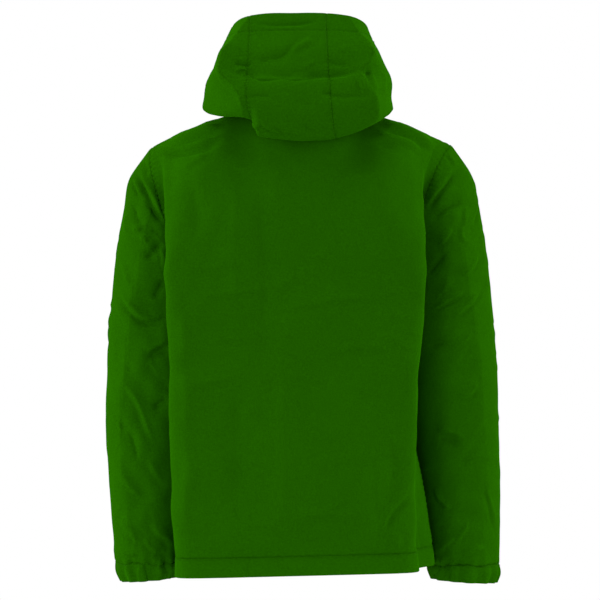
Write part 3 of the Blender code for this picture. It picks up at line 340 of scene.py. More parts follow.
BODY_CREASES = creases("""\
6.0 11.0 0.7 205,-50 174,-39 130,-23 118,-16
5.6 10.0 0.8 222,-57 189,-56 158,-51 135,-42 120,-34
4.3 4.06 0.7 226,-62 214,-68 210,-82 207,-100 206,-126 207,-175 206,-204 205,-232
4.3 4.06 0.7 -205,-60 -196,-70 -188,-89 -186,-123 -190,-149 -192,-184 -191,-215 -190,-236
4.8 3.48 0.3 186,-91 164,-78 141,-64
5.6 11.0 0.7 -126,-17 -149,-26 -180,-40 -212,-56
6.2 10.0 0.7 -112,-32 -119,-36 -155,-46 -194,-57
4.3 2.9 0.3 -133,-48 -161,-59 -181,-71
4.3 2.61 0.5 160,-287 129,-282 96,-279 62,-274 33,-270
4.3 2.61 0.5 56,-316 34,-308 14,-302 -23,-296 -57,-290 -87,-287 -116,-282
4.3 2.61 0.5 186,-425 169,-423 150,-420 124,-415 96,-411
12.6 -4.62 0 166,-105 161,-155 157,-208
15.0 5.5 0 104,-85 101,-150 99,-230 103,-330
13.0 -5.5 0 64,-85 62,-150 60,-230 56,-330 55,-400
19.0 8.0 0 30,-340 24,-430 23,-530 27,-655
19.0 -5.5 0 100,-390 96,-480 100,-590 104,-660
12.0 5.0 0 182,-300 178,-350 181,-400
14.0 6.5 0 179,-390 173,-450 178,-500
14.0 7.0 0 179,-490 171,-560 177,-610 172,-672
13.0 7.0 0 -128,-520 -116,-580 -122,-640 -113,-680
9.0 -4.0 0 -140,-500 -146,-560 -139,-620
4.3 2.61 0.5 81,-634 54,-639 26,-643
4.3 2.9 0.5 11,-629 -20,-626 -50,-623 -81,-628 -110,-631
4.5 6.09 0.8 -174,-583 -158,-598 -142,-614 -133,-629 -127,-643 -118,-659
4.3 2.03 0.5 -141,-648 -144,-665 -143,-680
4.3 3.48 0.5 -152,-649 -153,-665 -150,-679
4.3 2.32 0.4 149,-356 105,-350 59,-355
4.3 2.32 0.4 -46,-372 -96,-364 -155,-372
4.8 2.61 0.4 -9,-251 16,-262 43,-276""")
SLEEVE_LEFT_CREASES = creases("""\
3.3 3.8 0.6 237,-71 234,-82 231,-90 232,-105
4.5 8.2 0.9 250,-85 242,-104 231,-124 220,-147 208,-172
3.3 5.5 0.8 257,-101 251,-116 245,-132
4.2 -7.2 0 264,-138 259,-152 254,-166 240,-178
4.8 -6.5 0 245,-135 228,-152 209,-175
2.5 -2.9 0 232,-181 223,-186 214,-191
3.6 4.9 0.5 257,-184 251,-181 246,-184
3.3 4.4 0.5 248,-198 242,-196 237,-202
5.6 -8.2 0 242,-231 228,-217 212,-200
5.6 -7.7 0 228,-294 220,-277 209,-257
3.1 3.3 0.4 220,-205 212,-222 211,-245
4.8 6.0 0.8 281,-270 276,-281 264,-299 243,-318 222,-319 209,-307
2.2 2.2 0.4 287,-302 277,-315 265,-332
5.6 -7.2 0 240,-386 226,-376 200,-366
3.6 3.8 0.5 239,-372 223,-363 202,-355
4.8 4 0.49 288,-411 277,-420 265,-428 251,-448 240,-479 232,-498 222,-521
2.8 2.9 0.5 293,-468 285,-480 276,-494
4.2 -6.0 0 229,-463 217,-453 202,-443
4.8 2.7 0.42 234,-532 225,-555 209,-577
3.1 -3.3 0 267,-496 256,-518 250,-544
4.8 3 0.49 279,-555 264,-580 242,-601
4.8 3.7 0.56 231,-634 220,-649 208,-660 194,-673
3.8 2.6 0.42 279,-625 268,-645 251,-663
3.8 2.7 0.42 243,-657 232,-673 215,-684
2.8 2.9 0.5 282,-676 267,-684 248,-685
3.6 3.2 0.4 277,-233 270,-248 264,-268
3.6 3.5 0.5 267,-155 270,-171 265,-191""")
SLEEVE_RIGHT_CREASES = creases("""\
4.2 8.2 0.9 -240,-85 -229,-99 -217,-116 -205,-132 -191,-149
3.6 -6.0 0 -254,-138 -242,-144 -229,-149 -217,-158 -203,-172
3.0 3.2 0.4 -260,-141 -256,-157 -254,-174 -250,-181 -251,-197 -267,-209
3.9 -6.0 0 -231,-215 -212,-236 -192,-259
3.3 4.4 0.7 -257,-279 -232,-291 -203,-305
3.6 4.4 0.6 -279,-277 -264,-293 -251,-305 -237,-319
2.8 -2.9 0 -229,-356 -214,-360 -198,-363
5.6 -6.0 0 -212,-502 -229,-508 -253,-513
3.6 3.8 0.5 -211,-493 -232,-496 -257,-504
3.1 2.9 0.4 -236,-177 -226,-195 -211,-209
3.3 3.8 0.5 -276,-217 -267,-239 -248,-254
2.8 2.4 0.4 -270,-338 -254,-355 -232,-369
4.2 3.2 0.5 -282,-415 -264,-434 -240,-446
3.3 3.5 0.5 -208,-580 -217,-601 -236,-617
3.8 2.7 0.49 -205,-682 -214,-680 -225,-677
3.8 3 0.49 -215,-679 -228,-668 -240,-656
2.8 2.9 0.5 -287,-574 -293,-601 -298,-625 -302,-651
3.3 3.5 0.5 -251,-688 -267,-679 -288,-676
3.3 3.2 0.5 -264,-632 -251,-654 -236,-670
3.1 2.4 0.4 -226,-62 -236,-74 -240,-87""")

CUFF_LEFT_CREASES = creases("""\
2.0 -3.4 0 238,-696 239,-709 235,-722 234,-735
2.4 -4.4 0 206,-690 209,-702 205,-717 208,-731
2.0 3.0 0.4 216,-690 219,-704 214,-720
2.2 2.6 0.4 264,-697 268,-708 258,-722
2.0 -2.6 0 273,-686 265,-694 257,-699
2.0 -2.4 0 226,-690 217,-685 208,-690
2.0 1.8 0.4 247,-704 250,-716 246,-730""")
CUFF_RIGHT_CREASES = creases("""\
2.0 -3.6 0 -233,-688 -229,-702 -232,-716 -229,-728
2.0 3.0 0.4 -223,-686 -220,-699 -224,-712 -219,-725
2.0 -3.2 0 -213,-690 -216,-704 -211,-716 -214,-727
2.0 2.6 0.4 -206,-697 -208,-709 -204,-721
2.0 -2.2 0 -252,-704 -240,-698 -226,-696
2.4 2.0 0.4 -263,-711 -258,-721 -262,-731
2.4 -1.8 0 -286,-712 -283,-722 -287,-732""")

# Slight creases between the drawn ones: seed, number, range of x and of z, lengths, heights and slope.
BACK_SLIGHT = (91, 60, (-175, 190), (-665, -70), (25, 95), (0.5, 1.3), 0.05)
SLEEVE_LEFT_SLIGHT = (92, 34, (180, 298), (-690, -120), (15, 55), (0.6, 1.5), 1.0)
SLEEVE_RIGHT_SLIGHT = (93, 34, (-310, -185), (-690, -120), (15, 55), (0.6, 1.5), -1.0)
HOOD_SLIGHT = (94, 30, (-110, 110), (-30, 145), (10, 40), (0.5, 1.2), 0.5)

# Seams: the edge of the grid, depth of the groove, height of the puckers, their seed, reach and pitch.
BACK_SEAMS = (("first_column", 0.5, 0.8, 12, 10.0, 5.5), ("last_column", 0.5, 0.8, 13, 10.0, 5.5),
              ("last_row", 0.7, 0.35, 14, 9.0, 11.0), ("first_row", 0.1, 0.5, 15, 9.0, 11.0))
FRONT_SEAMS = (("first_column", 0.7, 0.35, 12, 9.0, 11.0), ("last_column", 0.7, 0.35, 13, 9.0, 11.0),
               ("last_row", 0.7, 0.35, 24, 9.0, 11.0), ("first_row", 0.1, 0.3, 25, 9.0, 11.0))
HEM_SEAM = ("last_row", 0.1, 0.5, 32, 9.0, 8.0)
SLEEVE_LEFT_SEAMS = (("first_row", 0.5, 0.5, 44, 6.0, 6.5), ("last_row", 0.6, 0.0, 46, 9.0, 11.0))
SLEEVE_RIGHT_SEAMS = (("first_row", 0.5, 0.5, 42, 6.0, 6.5), ("last_row", 0.6, 0.0, 44, 9.0, 11.0))
HOOD_NECK_SEAM = ("first_row", 0.8, 0.3, 52, 9.0, 11.0)
HOOD_LONG_SEAMS = {"first_column": ("first_column", 0.8, 0.4, 53, 7.0, 5.6),
                   "last_column": ("last_column", 0.8, 0.4, 54, 7.0, 5.6)}


# ------------------------------------------------------------------ reading the tables
def through(knots, values, at):
    """Cubic curve through the rows of a table. Slopes come from the rows on either side."""
    knots = np.asarray(knots, float)
    values = np.asarray(values, float)
    at = np.clip(np.asarray(at, float), knots[0], knots[-1])
    slopes = np.gradient(values, knots, axis=0)
    row = np.clip(np.searchsorted(knots, at, side="right") - 1, 0, len(knots) - 2)
    step = knots[row + 1] - knots[row]
    share = (at - knots[row]) / step
    if values.ndim > 1:
        share = share[..., None]
        step = step[..., None]
    rest = 1.0 - share
    return ((1.0 + 2.0 * share) * rest ** 2 * values[row]
            + share * rest ** 2 * step * slopes[row]
            + share ** 2 * (3.0 - 2.0 * share) * values[row + 1]
            - share ** 2 * rest * step * slopes[row + 1])


def column(table, field):
    """One named column of a table, as an array."""
    return np.array([getattr(row, field) for row in table], float)


def ease(share):
    """0 to 1 with level ends."""
    share = np.clip(share, 0.0, 1.0)
    return share * share * (3.0 - 2.0 * share)


def unit(vectors):
    """The same directions with length one."""
    return vectors / np.linalg.norm(vectors, axis=-1, keepdims=True)


def lengths_along(line):
    """The length run at each point of a line, 0 at its start."""
    return np.concatenate([[0.0], np.cumsum(np.linalg.norm(np.diff(line, axis=0), axis=-1))])


def points_at(line, lengths, at):
    """The points of a line at given lengths along it."""
    return np.stack([np.interp(at, lengths, line[:, k]) for k in range(3)], axis=-1)


def soft_ramp(value):
    """Nearly 0 below zero and close to the value above it, with a soft bend between; 1 at 1."""
    lowest = math.hypot(1.0, SIDE_SOFTNESS) - 1.0
    return (value + np.sqrt(value ** 2 + SIDE_SOFTNESS ** 2) - lowest) / 2.0


# ------------------------------------------------------------------ hood rings and the neck
def turned(out, corner):
    """Depth of a folded section, 1 in its middle (out = 0) and 0 at its side (out = 1).

    It bows slightly as far as the corner, then falls nearly straight, with a rounded end.
    """
    beyond = np.clip((out - corner) / (1.0 - corner), 0.0, 1.0)
    return (1.0 - beyond ** CORNER_CRISPNESS) ** (1.0 / SIDE_ROUNDNESS) * (1.0 - SECTION_BOW * out ** 2)


def hood_points(way, angle):
    """Points of the hood. way is a row number of HOOD, with fractions between rows; angle runs from the
    front (0) by the left (90 degrees) to the back and round.

    A ring's back half is a squared ellipse from side to side, or a folded section where the ring says so, and
    its front half an ellipse that hugs the neck near the zip. Height and depth go from the side's values to
    the front's and the back's with the cosine. Between its corners the back is dented where the tiers meet.
    """
    knots = np.arange(len(HOOD))
    ring = {field: through(knots, column(HOOD, field), way) for field in HoodRing._fields}
    sine = np.abs(np.sin(angle))
    to_back = soft_ramp(-np.cos(angle)) ** (2.0 / ring["square"])
    to_front = soft_ramp(np.cos(angle))
    reach = np.where(np.sin(angle) >= 0.0, ring["left"], ring["right"])
    corner = np.where(np.sin(angle) >= 0.0, ring["fold_left"], ring["fold_right"]) / reach
    out = np.clip(1.0 - to_back ** ring["square"], 0.0, 1.0) ** (1.0 / ring["square"])
    depth = to_back + (turned(out, corner) - to_back) * ring["folded"] * (np.cos(angle) < 0.0)
    dent = ring["dent"] * ease((corner - out) * reach / DENT_FADE) * (np.cos(angle) < 0.0)
    hugging = NECK_HALF_WIDTH + (reach - NECK_HALF_WIDTH) * sine ** (2.0 * FRONT_HUG)
    half_width = np.where(np.cos(angle) > 0.0, hugging * sine, reach * sine ** (2.0 / ring["square"]))
    x = half_width * np.sign(np.sin(angle))
    y = (ring["side_y"] + (ring["back_y"] - ring["side_y"]) * depth - dent
         + (ring["front_y"] - ring["side_y"]) * to_front)
    lowered_front = to_front ** np.clip(1.0 + way / FRONT_DROP, 1.0, FRONT_DROP_MOST)
    z = (ring["side_z"] + (ring["back_z"] - ring["side_z"]) * to_back
         + (ring["front_z"] - ring["side_z"]) * lowered_front)
    hitched = ease((x - HITCH_FROM_X) / (HITCH_TO_X - HITCH_FROM_X)) * ease((HITCH_ENDS_X - x) / HITCH_FADE)
    z = z + ring["hitch"] * hitched * (np.cos(angle) < HITCH_REACH)
    return np.stack(np.broadcast_arrays(x, y, z), axis=-1)


def angle_at(way, x):
    """The angle at which a back half of the hood has the given x, row by row."""
    knots = np.arange(len(HOOD))
    left = x > 0.0
    reach_left, reach_right, square = (through(knots, column(HOOD, field), way)
                                       for field in ("left", "right", "square"))
    reach = np.where(left, reach_left, reach_right)
    turn = np.arcsin((np.abs(x) / reach) ** (square / 2.0))
    return np.where(left, math.pi - turn, math.pi + turn)


def neckline(angle):
    """The body's neck edge: the hood's first ring."""
    return hood_points(np.zeros_like(angle), angle)


# ------------------------------------------------------------------ body
def section_point(face, z, across):
    """Points of a panel below the armpit, at height z and at a signed share of the panel's width.

    From the middle to the roll: a quarter of a squared ellipse. From the roll to the side seam: x goes from
    one to the other with level ends, y evenly.
    """
    heights = column(BODY, "z")
    part = {field: through(heights, column(BODY, field), z) for field in BodySection._fields}
    left = across >= 0.0
    middle_y, roll_y = (part["back"], part["back_roll_y"])
    roll_x = np.where(left, part["back_left"], part["back_right"])
    if face == "front":
        middle_y, roll_y = (part["chest"], part["chest_roll_y"])
        roll_x = np.where(left, part["chest_left"], part["chest_right"])
    seam_x = np.where(left, part["seam_left"], part["seam_right"])
    size = np.abs(across)
    swing = np.sin(np.clip(size / ROLL_SHARE, 0.0, 1.0) * math.pi / 2)
    square = np.where(left, part["square_left"], part["square_right"]) if face == "back" else FRONT_SQUARENESS
    bow = np.clip(1.0 - swing ** square, 0.0, 1.0) ** (1.0 / square)
    past = np.clip((size - ROLL_SHARE) / (1.0 - ROLL_SHARE), 0.0, 1.0)
    x = roll_x * swing + (seam_x - roll_x) * ease(past)
    y = roll_y + (middle_y - roll_y) * bow + (part["seam_y"] - roll_y) * past
    tilt = HEM_TILT * x * np.sign(across) * ease((HEM_TILT_ENDS - z) / HEM_TILT_GROWS)
    return np.stack(np.broadcast_arrays(x * np.sign(across + 1e-12), y, z + tilt), axis=-1)


def top_edge(face, across):
    """The neckline up to NECK_SHARE, then the shoulder seam out to the shoulder point."""
    size = np.abs(across)
    turn = np.clip(size / NECK_SHARE, 0.0, 1.0) * math.pi / 2
    angle = np.where(across >= 0.0, math.pi - turn, math.pi + turn) if face == "back" else \
        np.where(across >= 0.0, turn, 2 * math.pi - turn)
    neck = neckline(angle)
    points = []
    for x_sign, shoulder in ((1.0, SHOULDER_POINT_LEFT), (-1.0, SHOULDER_POINT_RIGHT)):
        neck_end = neckline(np.array([math.pi / 2 if x_sign > 0 else 3 * math.pi / 2]))[0]
        tip = np.array(shoulder) * (x_sign, 1.0, 1.0)
        reach = np.interp(size, (NECK_SHARE, ROLL_SHARE, 1.0), (0.0, SHOULDER_TURN, 1.0))
        bow = SHOULDER_BOW * np.sin(math.pi * reach)[..., None] * np.array((0.0, 0.0, 1.0))
        points.append(neck_end + (tip - neck_end) * reach[..., None] + bow)
    seam = np.where(across[..., None] >= 0.0, points[0], points[1])
    return np.where(size[..., None] <= NECK_SHARE, neck, seam)


def column_speed(table, stem, across):
    """The speeds of a panel's columns, rise or arrive. The wearer's right has its x from its own field."""
    size = np.clip(np.hypot(across, MIDDLE_ROUNDING), 0.0, 1.0)
    knots = column(table, "across")
    x, y, z = (through(knots, column(table, stem + "_" + axis), size) for axis in "xyz")
    right_x = through(knots, column(table, "right_" + stem + "_x"), size)
    return np.stack([np.where(across >= 0.0, x, -right_x), y, z], axis=-1)


def rising_point(face, share, across):
    """Points above the armpit: cubic curves from the armpit level to the top edge."""
    table = BACK_COLUMNS if face == "back" else FRONT_COLUMNS
    rise = column_speed(table, "rise", across)
    arrive = column_speed(table, "arrive", across)
    start = section_point(face, np.full_like(across, ARMPIT_Z), across)
    end = top_edge(face, across)
    t = np.asarray(share, float)[..., None]
    return ((1 + 2 * t) * (1 - t) ** 2 * start + t * (1 - t) ** 2 * rise
            + t ** 2 * (3 - 2 * t) * end - t ** 2 * (1 - t) * arrive)


def armhole(side, share, face):
    """Edge of a panel at the armhole: share 0 at the armpit, 1 at the shoulder point."""
    return rising_point(face, share, np.full_like(share, 1.0 * side))


def ring_points(ring, side, angle):
    """A sleeve ring between its outer end (angle 0) and inner end, +Y at 90 degrees.

    The inner half is a squared ellipse, the outer half an ellipse drawn towards a folded section by fold.
    """
    outer = np.array((ring.outer_x * side, ring.mid_y, ring.outer_z))
    inner = np.array((ring.inner_x * side, ring.mid_y, ring.inner_z))
    middle = (outer + inner) / 2
    cosine = np.cos(angle)[..., None]
    round_half = np.sqrt(1.0 - cosine ** 2)
    far_half = round_half + (turned(np.clip(cosine, 0.0, 1.0), ring.corner) - round_half) * ring.fold
    near_half = (1.0 - np.abs(cosine) ** SLEEVE_INSIDE) ** (1.0 / SLEEVE_INSIDE)
    sine = np.sign(np.sin(angle))[..., None] * np.where(cosine > 0.0, far_half, near_half)
    return middle + (outer - inner) / 2 * cosine + np.array((0.0, ring.half_depth, 0.0)) * sine


def even_steps(curve, values, count, closeness=1.0):
    """The values at which a curve is cut into equal lengths, or shorter ones where closeness is more than 1.

    curve holds its points at many values.
    """
    steps = np.linalg.norm(np.diff(curve, axis=0), axis=-1) * closeness
    length = np.concatenate([[0.0], np.cumsum(steps)])
    return np.interp(np.linspace(0.0, length[-1], count), length, values)


def panel_columns(face, count):
    """Signed shares of a panel's width, the wearer's right to left, at even distances along its girth."""
    many = np.linspace(-1.0, 1.0, 4001)
    curve = section_point(face, np.full_like(many, GIRTH_Z), many)
    closeness = 1.0
    if face == "back":
        closeness += ROLL_CLOSENESS * np.exp(-((np.abs(many[1:]) - ROLL_SHARE) / ROLL_WIDTH) ** 2)
    return even_steps(curve, many, count, closeness)


def panel_grid(face, columns, level_rows, rising_rows):
    """Rows from the hem up to the armpit level and on to the top edge, columns from the wearer's right.

    Below the corner between neckline and shoulder seam each point is replaced by a bell-weighted average of
    its row, so that no ridge runs down from the corner.
    """
    across = panel_columns(face, columns)
    heights = np.linspace(HEM_TOP_Z, ARMPIT_Z, level_rows)
    shares = np.linspace(0.0, 1.0, rising_rows)[1:]
    low = section_point(face, *np.meshgrid(heights, across, indexing="ij"))
    high = rising_point(face, *np.meshgrid(shares, across, indexing="ij"))
    near = np.exp(-((across[:, None] - across) / CORNER_BLUR) ** 2)
    blurred = np.einsum("cd,rdk->rck", near / near.sum(axis=1, keepdims=True), high)
    beside = ease(1.6 - np.abs(np.abs(across) - NECK_SHARE) / CORNER_REACH)[None, :, None]
    under = (ease((1.0 - shares) / CORNER_ENDS[1]) * ease(shares / CORNER_ENDS[0]))[:, None, None]
    return np.concatenate([low, high + (blurred - high) * beside * under])


def front_grid(columns, level_rows, rising_rows):
    """The front panel, with the columns beside the middle moved out to the edges of the zip's slot.

    A column is moved by what its edge lacks, times a fall-off over SLOT_SPREAD, so that no two columns cross.
    """
    grid = panel_grid("front", columns, level_rows, rising_rows)
    half = columns // 2
    for side, edge in ((1.0, half), (-1.0, half - 1)):
        part = grid[:, half:] if side > 0.0 else grid[:, :half]
        away = np.abs(part[..., 0] - grid[:, edge:edge + 1, 0])
        lacking = side * ZIP_SLOT_HALF - grid[:, edge:edge + 1, 0]
        part[..., 0] += lacking * np.exp(-away / SLOT_SPREAD)
    return grid


def hem_grid(back_across, front_across, rows):
    """The hem band's rows from its lower edge up, all round: along the back, then back along the front."""
    heights = HEM_TOP_Z - np.linspace(1.0, 0.0, rows) * HEM_BAND
    back = section_point("back", *np.meshgrid(heights, back_across, indexing="ij"))
    front = section_point("front", *np.meshgrid(heights, front_across[-2:0:-1], indexing="ij"))
    return np.concatenate([back, front], axis=1)


# ------------------------------------------------------------------ sleeves, cuffs and hood
def sleeve_angles(columns):
    """Angles round a sleeve, closer together at the back (90 degrees) than at the front."""
    even = np.arange(columns) * 2.0 * math.pi / columns
    return even + DENSER_AT_BACK * (np.cos(even) - 1.0)


def sleeve_grid(side, rings, columns, rows):
    """A tube from the armhole's edge through the rings to the cuff's seam.

    Angle 0 is the shoulder point, 90 degrees the back, 180 the armpit. Rows lie at even distances.
    """
    angles = sleeve_angles(columns)
    on_back = angles <= math.pi
    edge = np.where(on_back[:, None],
                    armhole(side, np.clip(1.0 - angles / math.pi, 0.0, 1.0), "back"),
                    armhole(side, np.clip(angles / math.pi - 1.0, 0.0, 1.0), "front"))
    stations = np.array([edge] + [ring_points(ring, side, angles) for ring in rings])
    length = lengths_along(stations.mean(axis=1))
    at = np.linspace(0.0, length[-1], rows)
    return through(length, stations.reshape(len(length), -1), at).reshape(rows, -1, 3)


def waves_round(table, angles, side):
    """Sine waves round a sleeve, added up."""
    return sum(height * np.sin(number * angles + phase * side) for height, number, phase in table)


def wander_at_seam(grid, angles, side):
    """Move a grid up and down beside its last row, the seam of a gathered cuff. It fades as a bell curve."""
    away = from_edge(grid, "last_row")[0]
    grid[..., 2] += waves_round(SEAM_WAVES, angles, side) * np.exp(-(away / SEAM_WAVE_REACH) ** 2)


def cuff_grid(side, rings, angles, rows):
    """An elastic band: even puckers all round, deeper at the free edge, each a little unlike the next."""
    stations = np.array([ring_points(ring, side, angles) for ring in rings])
    at = np.linspace(0.0, len(rings) - 1.0, rows)
    grid = through(np.arange(len(rings)), stations.reshape(len(rings), -1), at).reshape(rows, -1, 3)
    depth = np.interp(at, np.arange(len(rings)), CUFF_GATHER_GROWTH) * CUFF_GATHER_SHARE
    middle = grid.mean(axis=1, keepdims=True)
    pucker = np.cos(CUFF_GATHERS * angles + waves_round(CUFF_WANDER, angles, side))
    return middle + (grid - middle) * (1.0 + depth[:, None] * pucker)[..., None]


def hood_grid(part, columns, rows):
    """One piece of the hood: rows from the neck seam to the rim, and the ring number of each row.

    A column keeps its share of the angle between the piece's two edges on every ring.
    """
    knots = np.arange(len(HOOD))
    ways = np.linspace(0.0, knots[-1], rows)
    seam_left, seam_right = (angle_at(ways, through(knots, column(HOOD, seam), ways))
                             for seam in ("seam_left", "seam_right"))
    edge = np.full_like(ways, math.asin(ZIP_SLOT_HALF / NECK_HALF_WIDTH))
    start, stop = {"left": (edge, seam_left), "centre": (seam_left, seam_right),
                   "right": (seam_right, 2.0 * math.pi - edge)}[part]
    share = np.linspace(0.0, 1.0, columns)
    if part == "left":
        share = 1.0 - (1.0 - share) ** HOOD_CROWDING
    if part == "right":
        share = share ** HOOD_CROWDING
    angles = start[:, None] + (stop - start)[:, None] * share
    points = hood_points(np.broadcast_to(ways[:, None], angles.shape), angles)
    if part == "left":
        points[:, 0, 0] = ZIP_SLOT_HALF
    if part == "right":
        points[:, -1, 0] = -ZIP_SLOT_HALF
    return points, ways


# ------------------------------------------------------------------ relief on the cloth
def normals_of(points, outward, wrap=False):
    """Unit normals of a grid: the cross product of its two directions, turned outward by the sign given."""
    rows = np.gradient(points, axis=0)
    if wrap:
        columns = (np.roll(points, -1, axis=1) - np.roll(points, 1, axis=1)) / 2.0
    else:
        columns = np.gradient(points, axis=1)
    normal = np.cross(rows, columns) * outward
    return normal / np.maximum(np.linalg.norm(normal, axis=-1, keepdims=True), 1e-9)


def from_edge(points, edge):
    """How far each point is from one edge of its grid, measured on the cloth, and its place along it."""
    along_rows = edge.endswith("row")
    grid = points if along_rows else points.swapaxes(0, 1)
    if edge.startswith("last"):
        grid = grid[::-1]
    away = np.concatenate([np.zeros(grid[:1].shape[:2]),
                           np.cumsum(np.linalg.norm(np.diff(grid, axis=0), axis=-1), axis=0)])
    along = np.broadcast_to(lengths_along(grid[0]), away.shape)
    if edge.startswith("last"):
        away = away[::-1]
    return (away, along) if along_rows else (away.T, along.T)


def held_at_seams(points, edges):
    """A factor for creases: 0 on the seams at the edges, where two pieces must meet, and 1 past SEAM_HOLD."""
    factor = np.ones(points.shape[:-1])
    for edge in edges:
        factor = factor * ease(from_edge(points, edge)[0] / SEAM_HOLD)
    return factor


def seam_relief(points, edge, groove, pucker, seed, reach, pitch):
    """Along a seam the cloth dips into a narrow groove, and puckers fade out over reach.

    Groove: a bell curve 2 mm wide. Puckers: three sine waves of seeded lengths near pitch, added up.
    """
    away, along = from_edge(points, edge)
    draw = np.random.default_rng(seed)
    waves = sum(np.sin(2.0 * math.pi * along / (pitch * f) + draw.uniform(0.0, 6.28))
                for f in draw.uniform(0.7, 1.6, 3)) / 1.7
    return (pucker * waves * np.exp(-(away / reach) ** PUCKER_FADE)
            - groove * np.exp(-(away / GROOVE_WIDTH) ** 2))


def tucked(points, normals, edge, reach=1.5, sink=0.5):
    """The grid with its seam allowance: the row at an edge moved on past the seam and a little inwards."""
    moved = points.copy()
    grid, up = (moved, normals) if edge.endswith("row") else (moved.swapaxes(0, 1), normals.swapaxes(0, 1))
    end, beside = (0, 1) if edge.startswith("first") else (-1, -2)
    grid[end] += unit(grid[end] - grid[beside]) * reach - up[end] * sink
    return moved


def stitched_row_relief(points, ways, way, groove=1.2, pucker=0.5, pitch=7.3, swell=9.0, reach=6.0):
    """The rim's turned edge is stitched down along one ring: a narrow groove with fine puckers on both sides.

    Puckers: the product of two sine waves, a short one at the pitch and a long one of 2 pi times swell.
    """
    down, along = from_edge(points, "first_row")
    away = np.abs(down - down[int(np.argmin(np.abs(ways - way)))])
    return (pucker * np.sin(along * 2.0 * math.pi / pitch) * np.sin(along / swell)
            * np.exp(-(away / reach) ** PUCKER_FADE) - groove * np.exp(-(away / GROOVE_WIDTH) ** 2))


def unevenness(points, height, seed, shortest=28.0, longest=130.0, waves=16):
    """Slow swells in the cloth: seeded sine waves through space, longer ones higher, added to a height."""
    draw = np.random.default_rng(seed)
    total = np.zeros(points.shape[:-1])
    power = 0.0
    for _ in range(waves):
        direction = unit(draw.normal(size=3))
        wave = shortest * (longest / shortest) ** draw.uniform()
        share = wave / longest
        total += share * np.sin(2.0 * math.pi * (points @ direction) / wave + draw.uniform(0.0, 6.28))
        power += share ** 2 / 2.0
    return height * total / math.sqrt(power)


def scattered(seed, count, x_range, z_range, lengths, heights, slope):
    """Slight creases: seeded places, lengths, heights and bends, near one slope."""
    draw = np.random.default_rng(seed)
    found = []
    for _ in range(count):
        middle = np.array((draw.uniform(*x_range), draw.uniform(*z_range)))
        turn = slope + draw.normal() * SLIGHT_TURN
        reach = draw.uniform(*lengths) / 2.0
        along = np.array((math.cos(turn), math.sin(turn))) * reach
        bend = np.array((-along[1], along[0])) * draw.normal() * SLIGHT_BEND
        height = draw.uniform(*heights) * draw.choice((-1.0, 1.0))
        found.append(Crease(draw.uniform(*SLIGHT_WIDTHS), height, SLIGHT_LEAN,
                            [middle - along, middle + bend, middle + along]))
    return found


def crease_relief(x, z, creases):
    """Creases drawn on a plane, as heights in millimetres at the places x, z.

    Each follows a smooth line through its corners. Its height falls off as exp(-distance / width) with a
    rounded crest, tapers to nothing at both ends, and is negative for a trough. lean adds a trough on the
    lower side, lean times as deep, one and a half widths away.
    """
    relief = np.zeros(np.shape(x))
    for crease in creases:
        corners = np.array(crease.line, float)
        knots = np.arange(len(corners))
        line = through(knots, corners, np.linspace(0, len(corners) - 1, 3 * (len(corners) - 1) + 1))
        margin = CREASE_MARGIN * crease.width
        near = ((x > line[:, 0].min() - margin) & (x < line[:, 0].max() + margin)
                & (z > line[:, 1].min() - margin) & (z < line[:, 1].max() + margin))
        if not near.any():
            continue
        px, pz = x[near], z[near]
        closest = np.full(px.shape, np.inf)
        along = np.zeros(px.shape)
        side = np.zeros(px.shape)
        done = 0.0
        for (sx, sz), (dx, dz) in zip(line[:-1], np.diff(line, axis=0)):
            size = math.hypot(dx, dz)
            t = np.clip(((px - sx) * dx + (pz - sz) * dz) / size ** 2, 0.0, 1.0)
            ax, az = px - sx - t * dx, pz - sz - t * dz
            distance = np.hypot(ax, az)
            nearer = distance < closest
            closest = np.where(nearer, distance, closest)
            along = np.where(nearer, done + t * size, along)
            side = np.where(nearer, (dx * az - dz * ax) / size, side)
            done += size
        chord = line[-1] - line[0]
        down = -1.0 if chord[0] > 0.0 or (chord[0] == 0.0 and chord[1] < 0.0) else 1.0
        share = along / done
        taper = ease(np.minimum(share, 1.0 - share) * CREASE_TAPER)
        a = closest / crease.width
        rounding = max(CREST_ROUNDING, FINEST_CREST / crease.width)
        crest = np.exp(rounding - np.sqrt(a ** 2 + rounding ** 2))
        b = (side * down / crease.width - TROUGH_AWAY) / TROUGH_WIDTH
        relief[near] += crease.height * taper * (crest - crease.lean * np.exp(-b ** 2))
    return relief


def seen_from_behind(points):
    """Where the camera behind sees each point, in the picture plane Y = 0."""
    grow = CAMERA_DISTANCE / (CAMERA_DISTANCE - points[..., 1])
    return points[..., 0] * grow, CAMERA_Z + (points[..., 2] - CAMERA_Z) * grow


def facing(normals, axis, sign, softness=0.3):
    """0 where the cloth faces away from a direction, 1 where it faces it, with a soft change."""
    return ease((normals[..., axis] * sign - 0.02) / softness)


def creased_from_behind(points, normals, creases):
    """Creases that the picture shows, on the cloth that faces it."""
    x, z = seen_from_behind(points)
    return crease_relief(x, z, creases) * facing(normals, 1, 1.0, 0.15)


def creased_in_front(points, normals, creases, shift):
    """Similar creases on the hidden front: the same table, mirrored left to right and moved by shift."""
    x, z = points[..., 0], points[..., 2]
    return crease_relief(-x + shift[0], z + shift[1], creases) * facing(normals, 1, -1.0)


def creased_at_side(points, normals, creases, side, middle, shift):
    """Similar creases on a sleeve's outer or inner side. middle is the x at which the table's sleeve lies."""
    y, z = points[..., 1], points[..., 2]
    return SIDE_SHARE * crease_relief(middle + y + shift[0], z + shift[1], creases) * facing(normals, 0, side)


# ------------------------------------------------------------------ making the pieces
def linear(colour):
    """An sRGB hex colour as linear red, green, blue, alpha."""
    parts = [int(colour[i:i + 2], 16) / 255.0 for i in (1, 3, 5)]
    return tuple(c / 12.92 if c <= 0.04045 else ((c + 0.055) / 1.055) ** 2.4 for c in parts) + (1.0,)


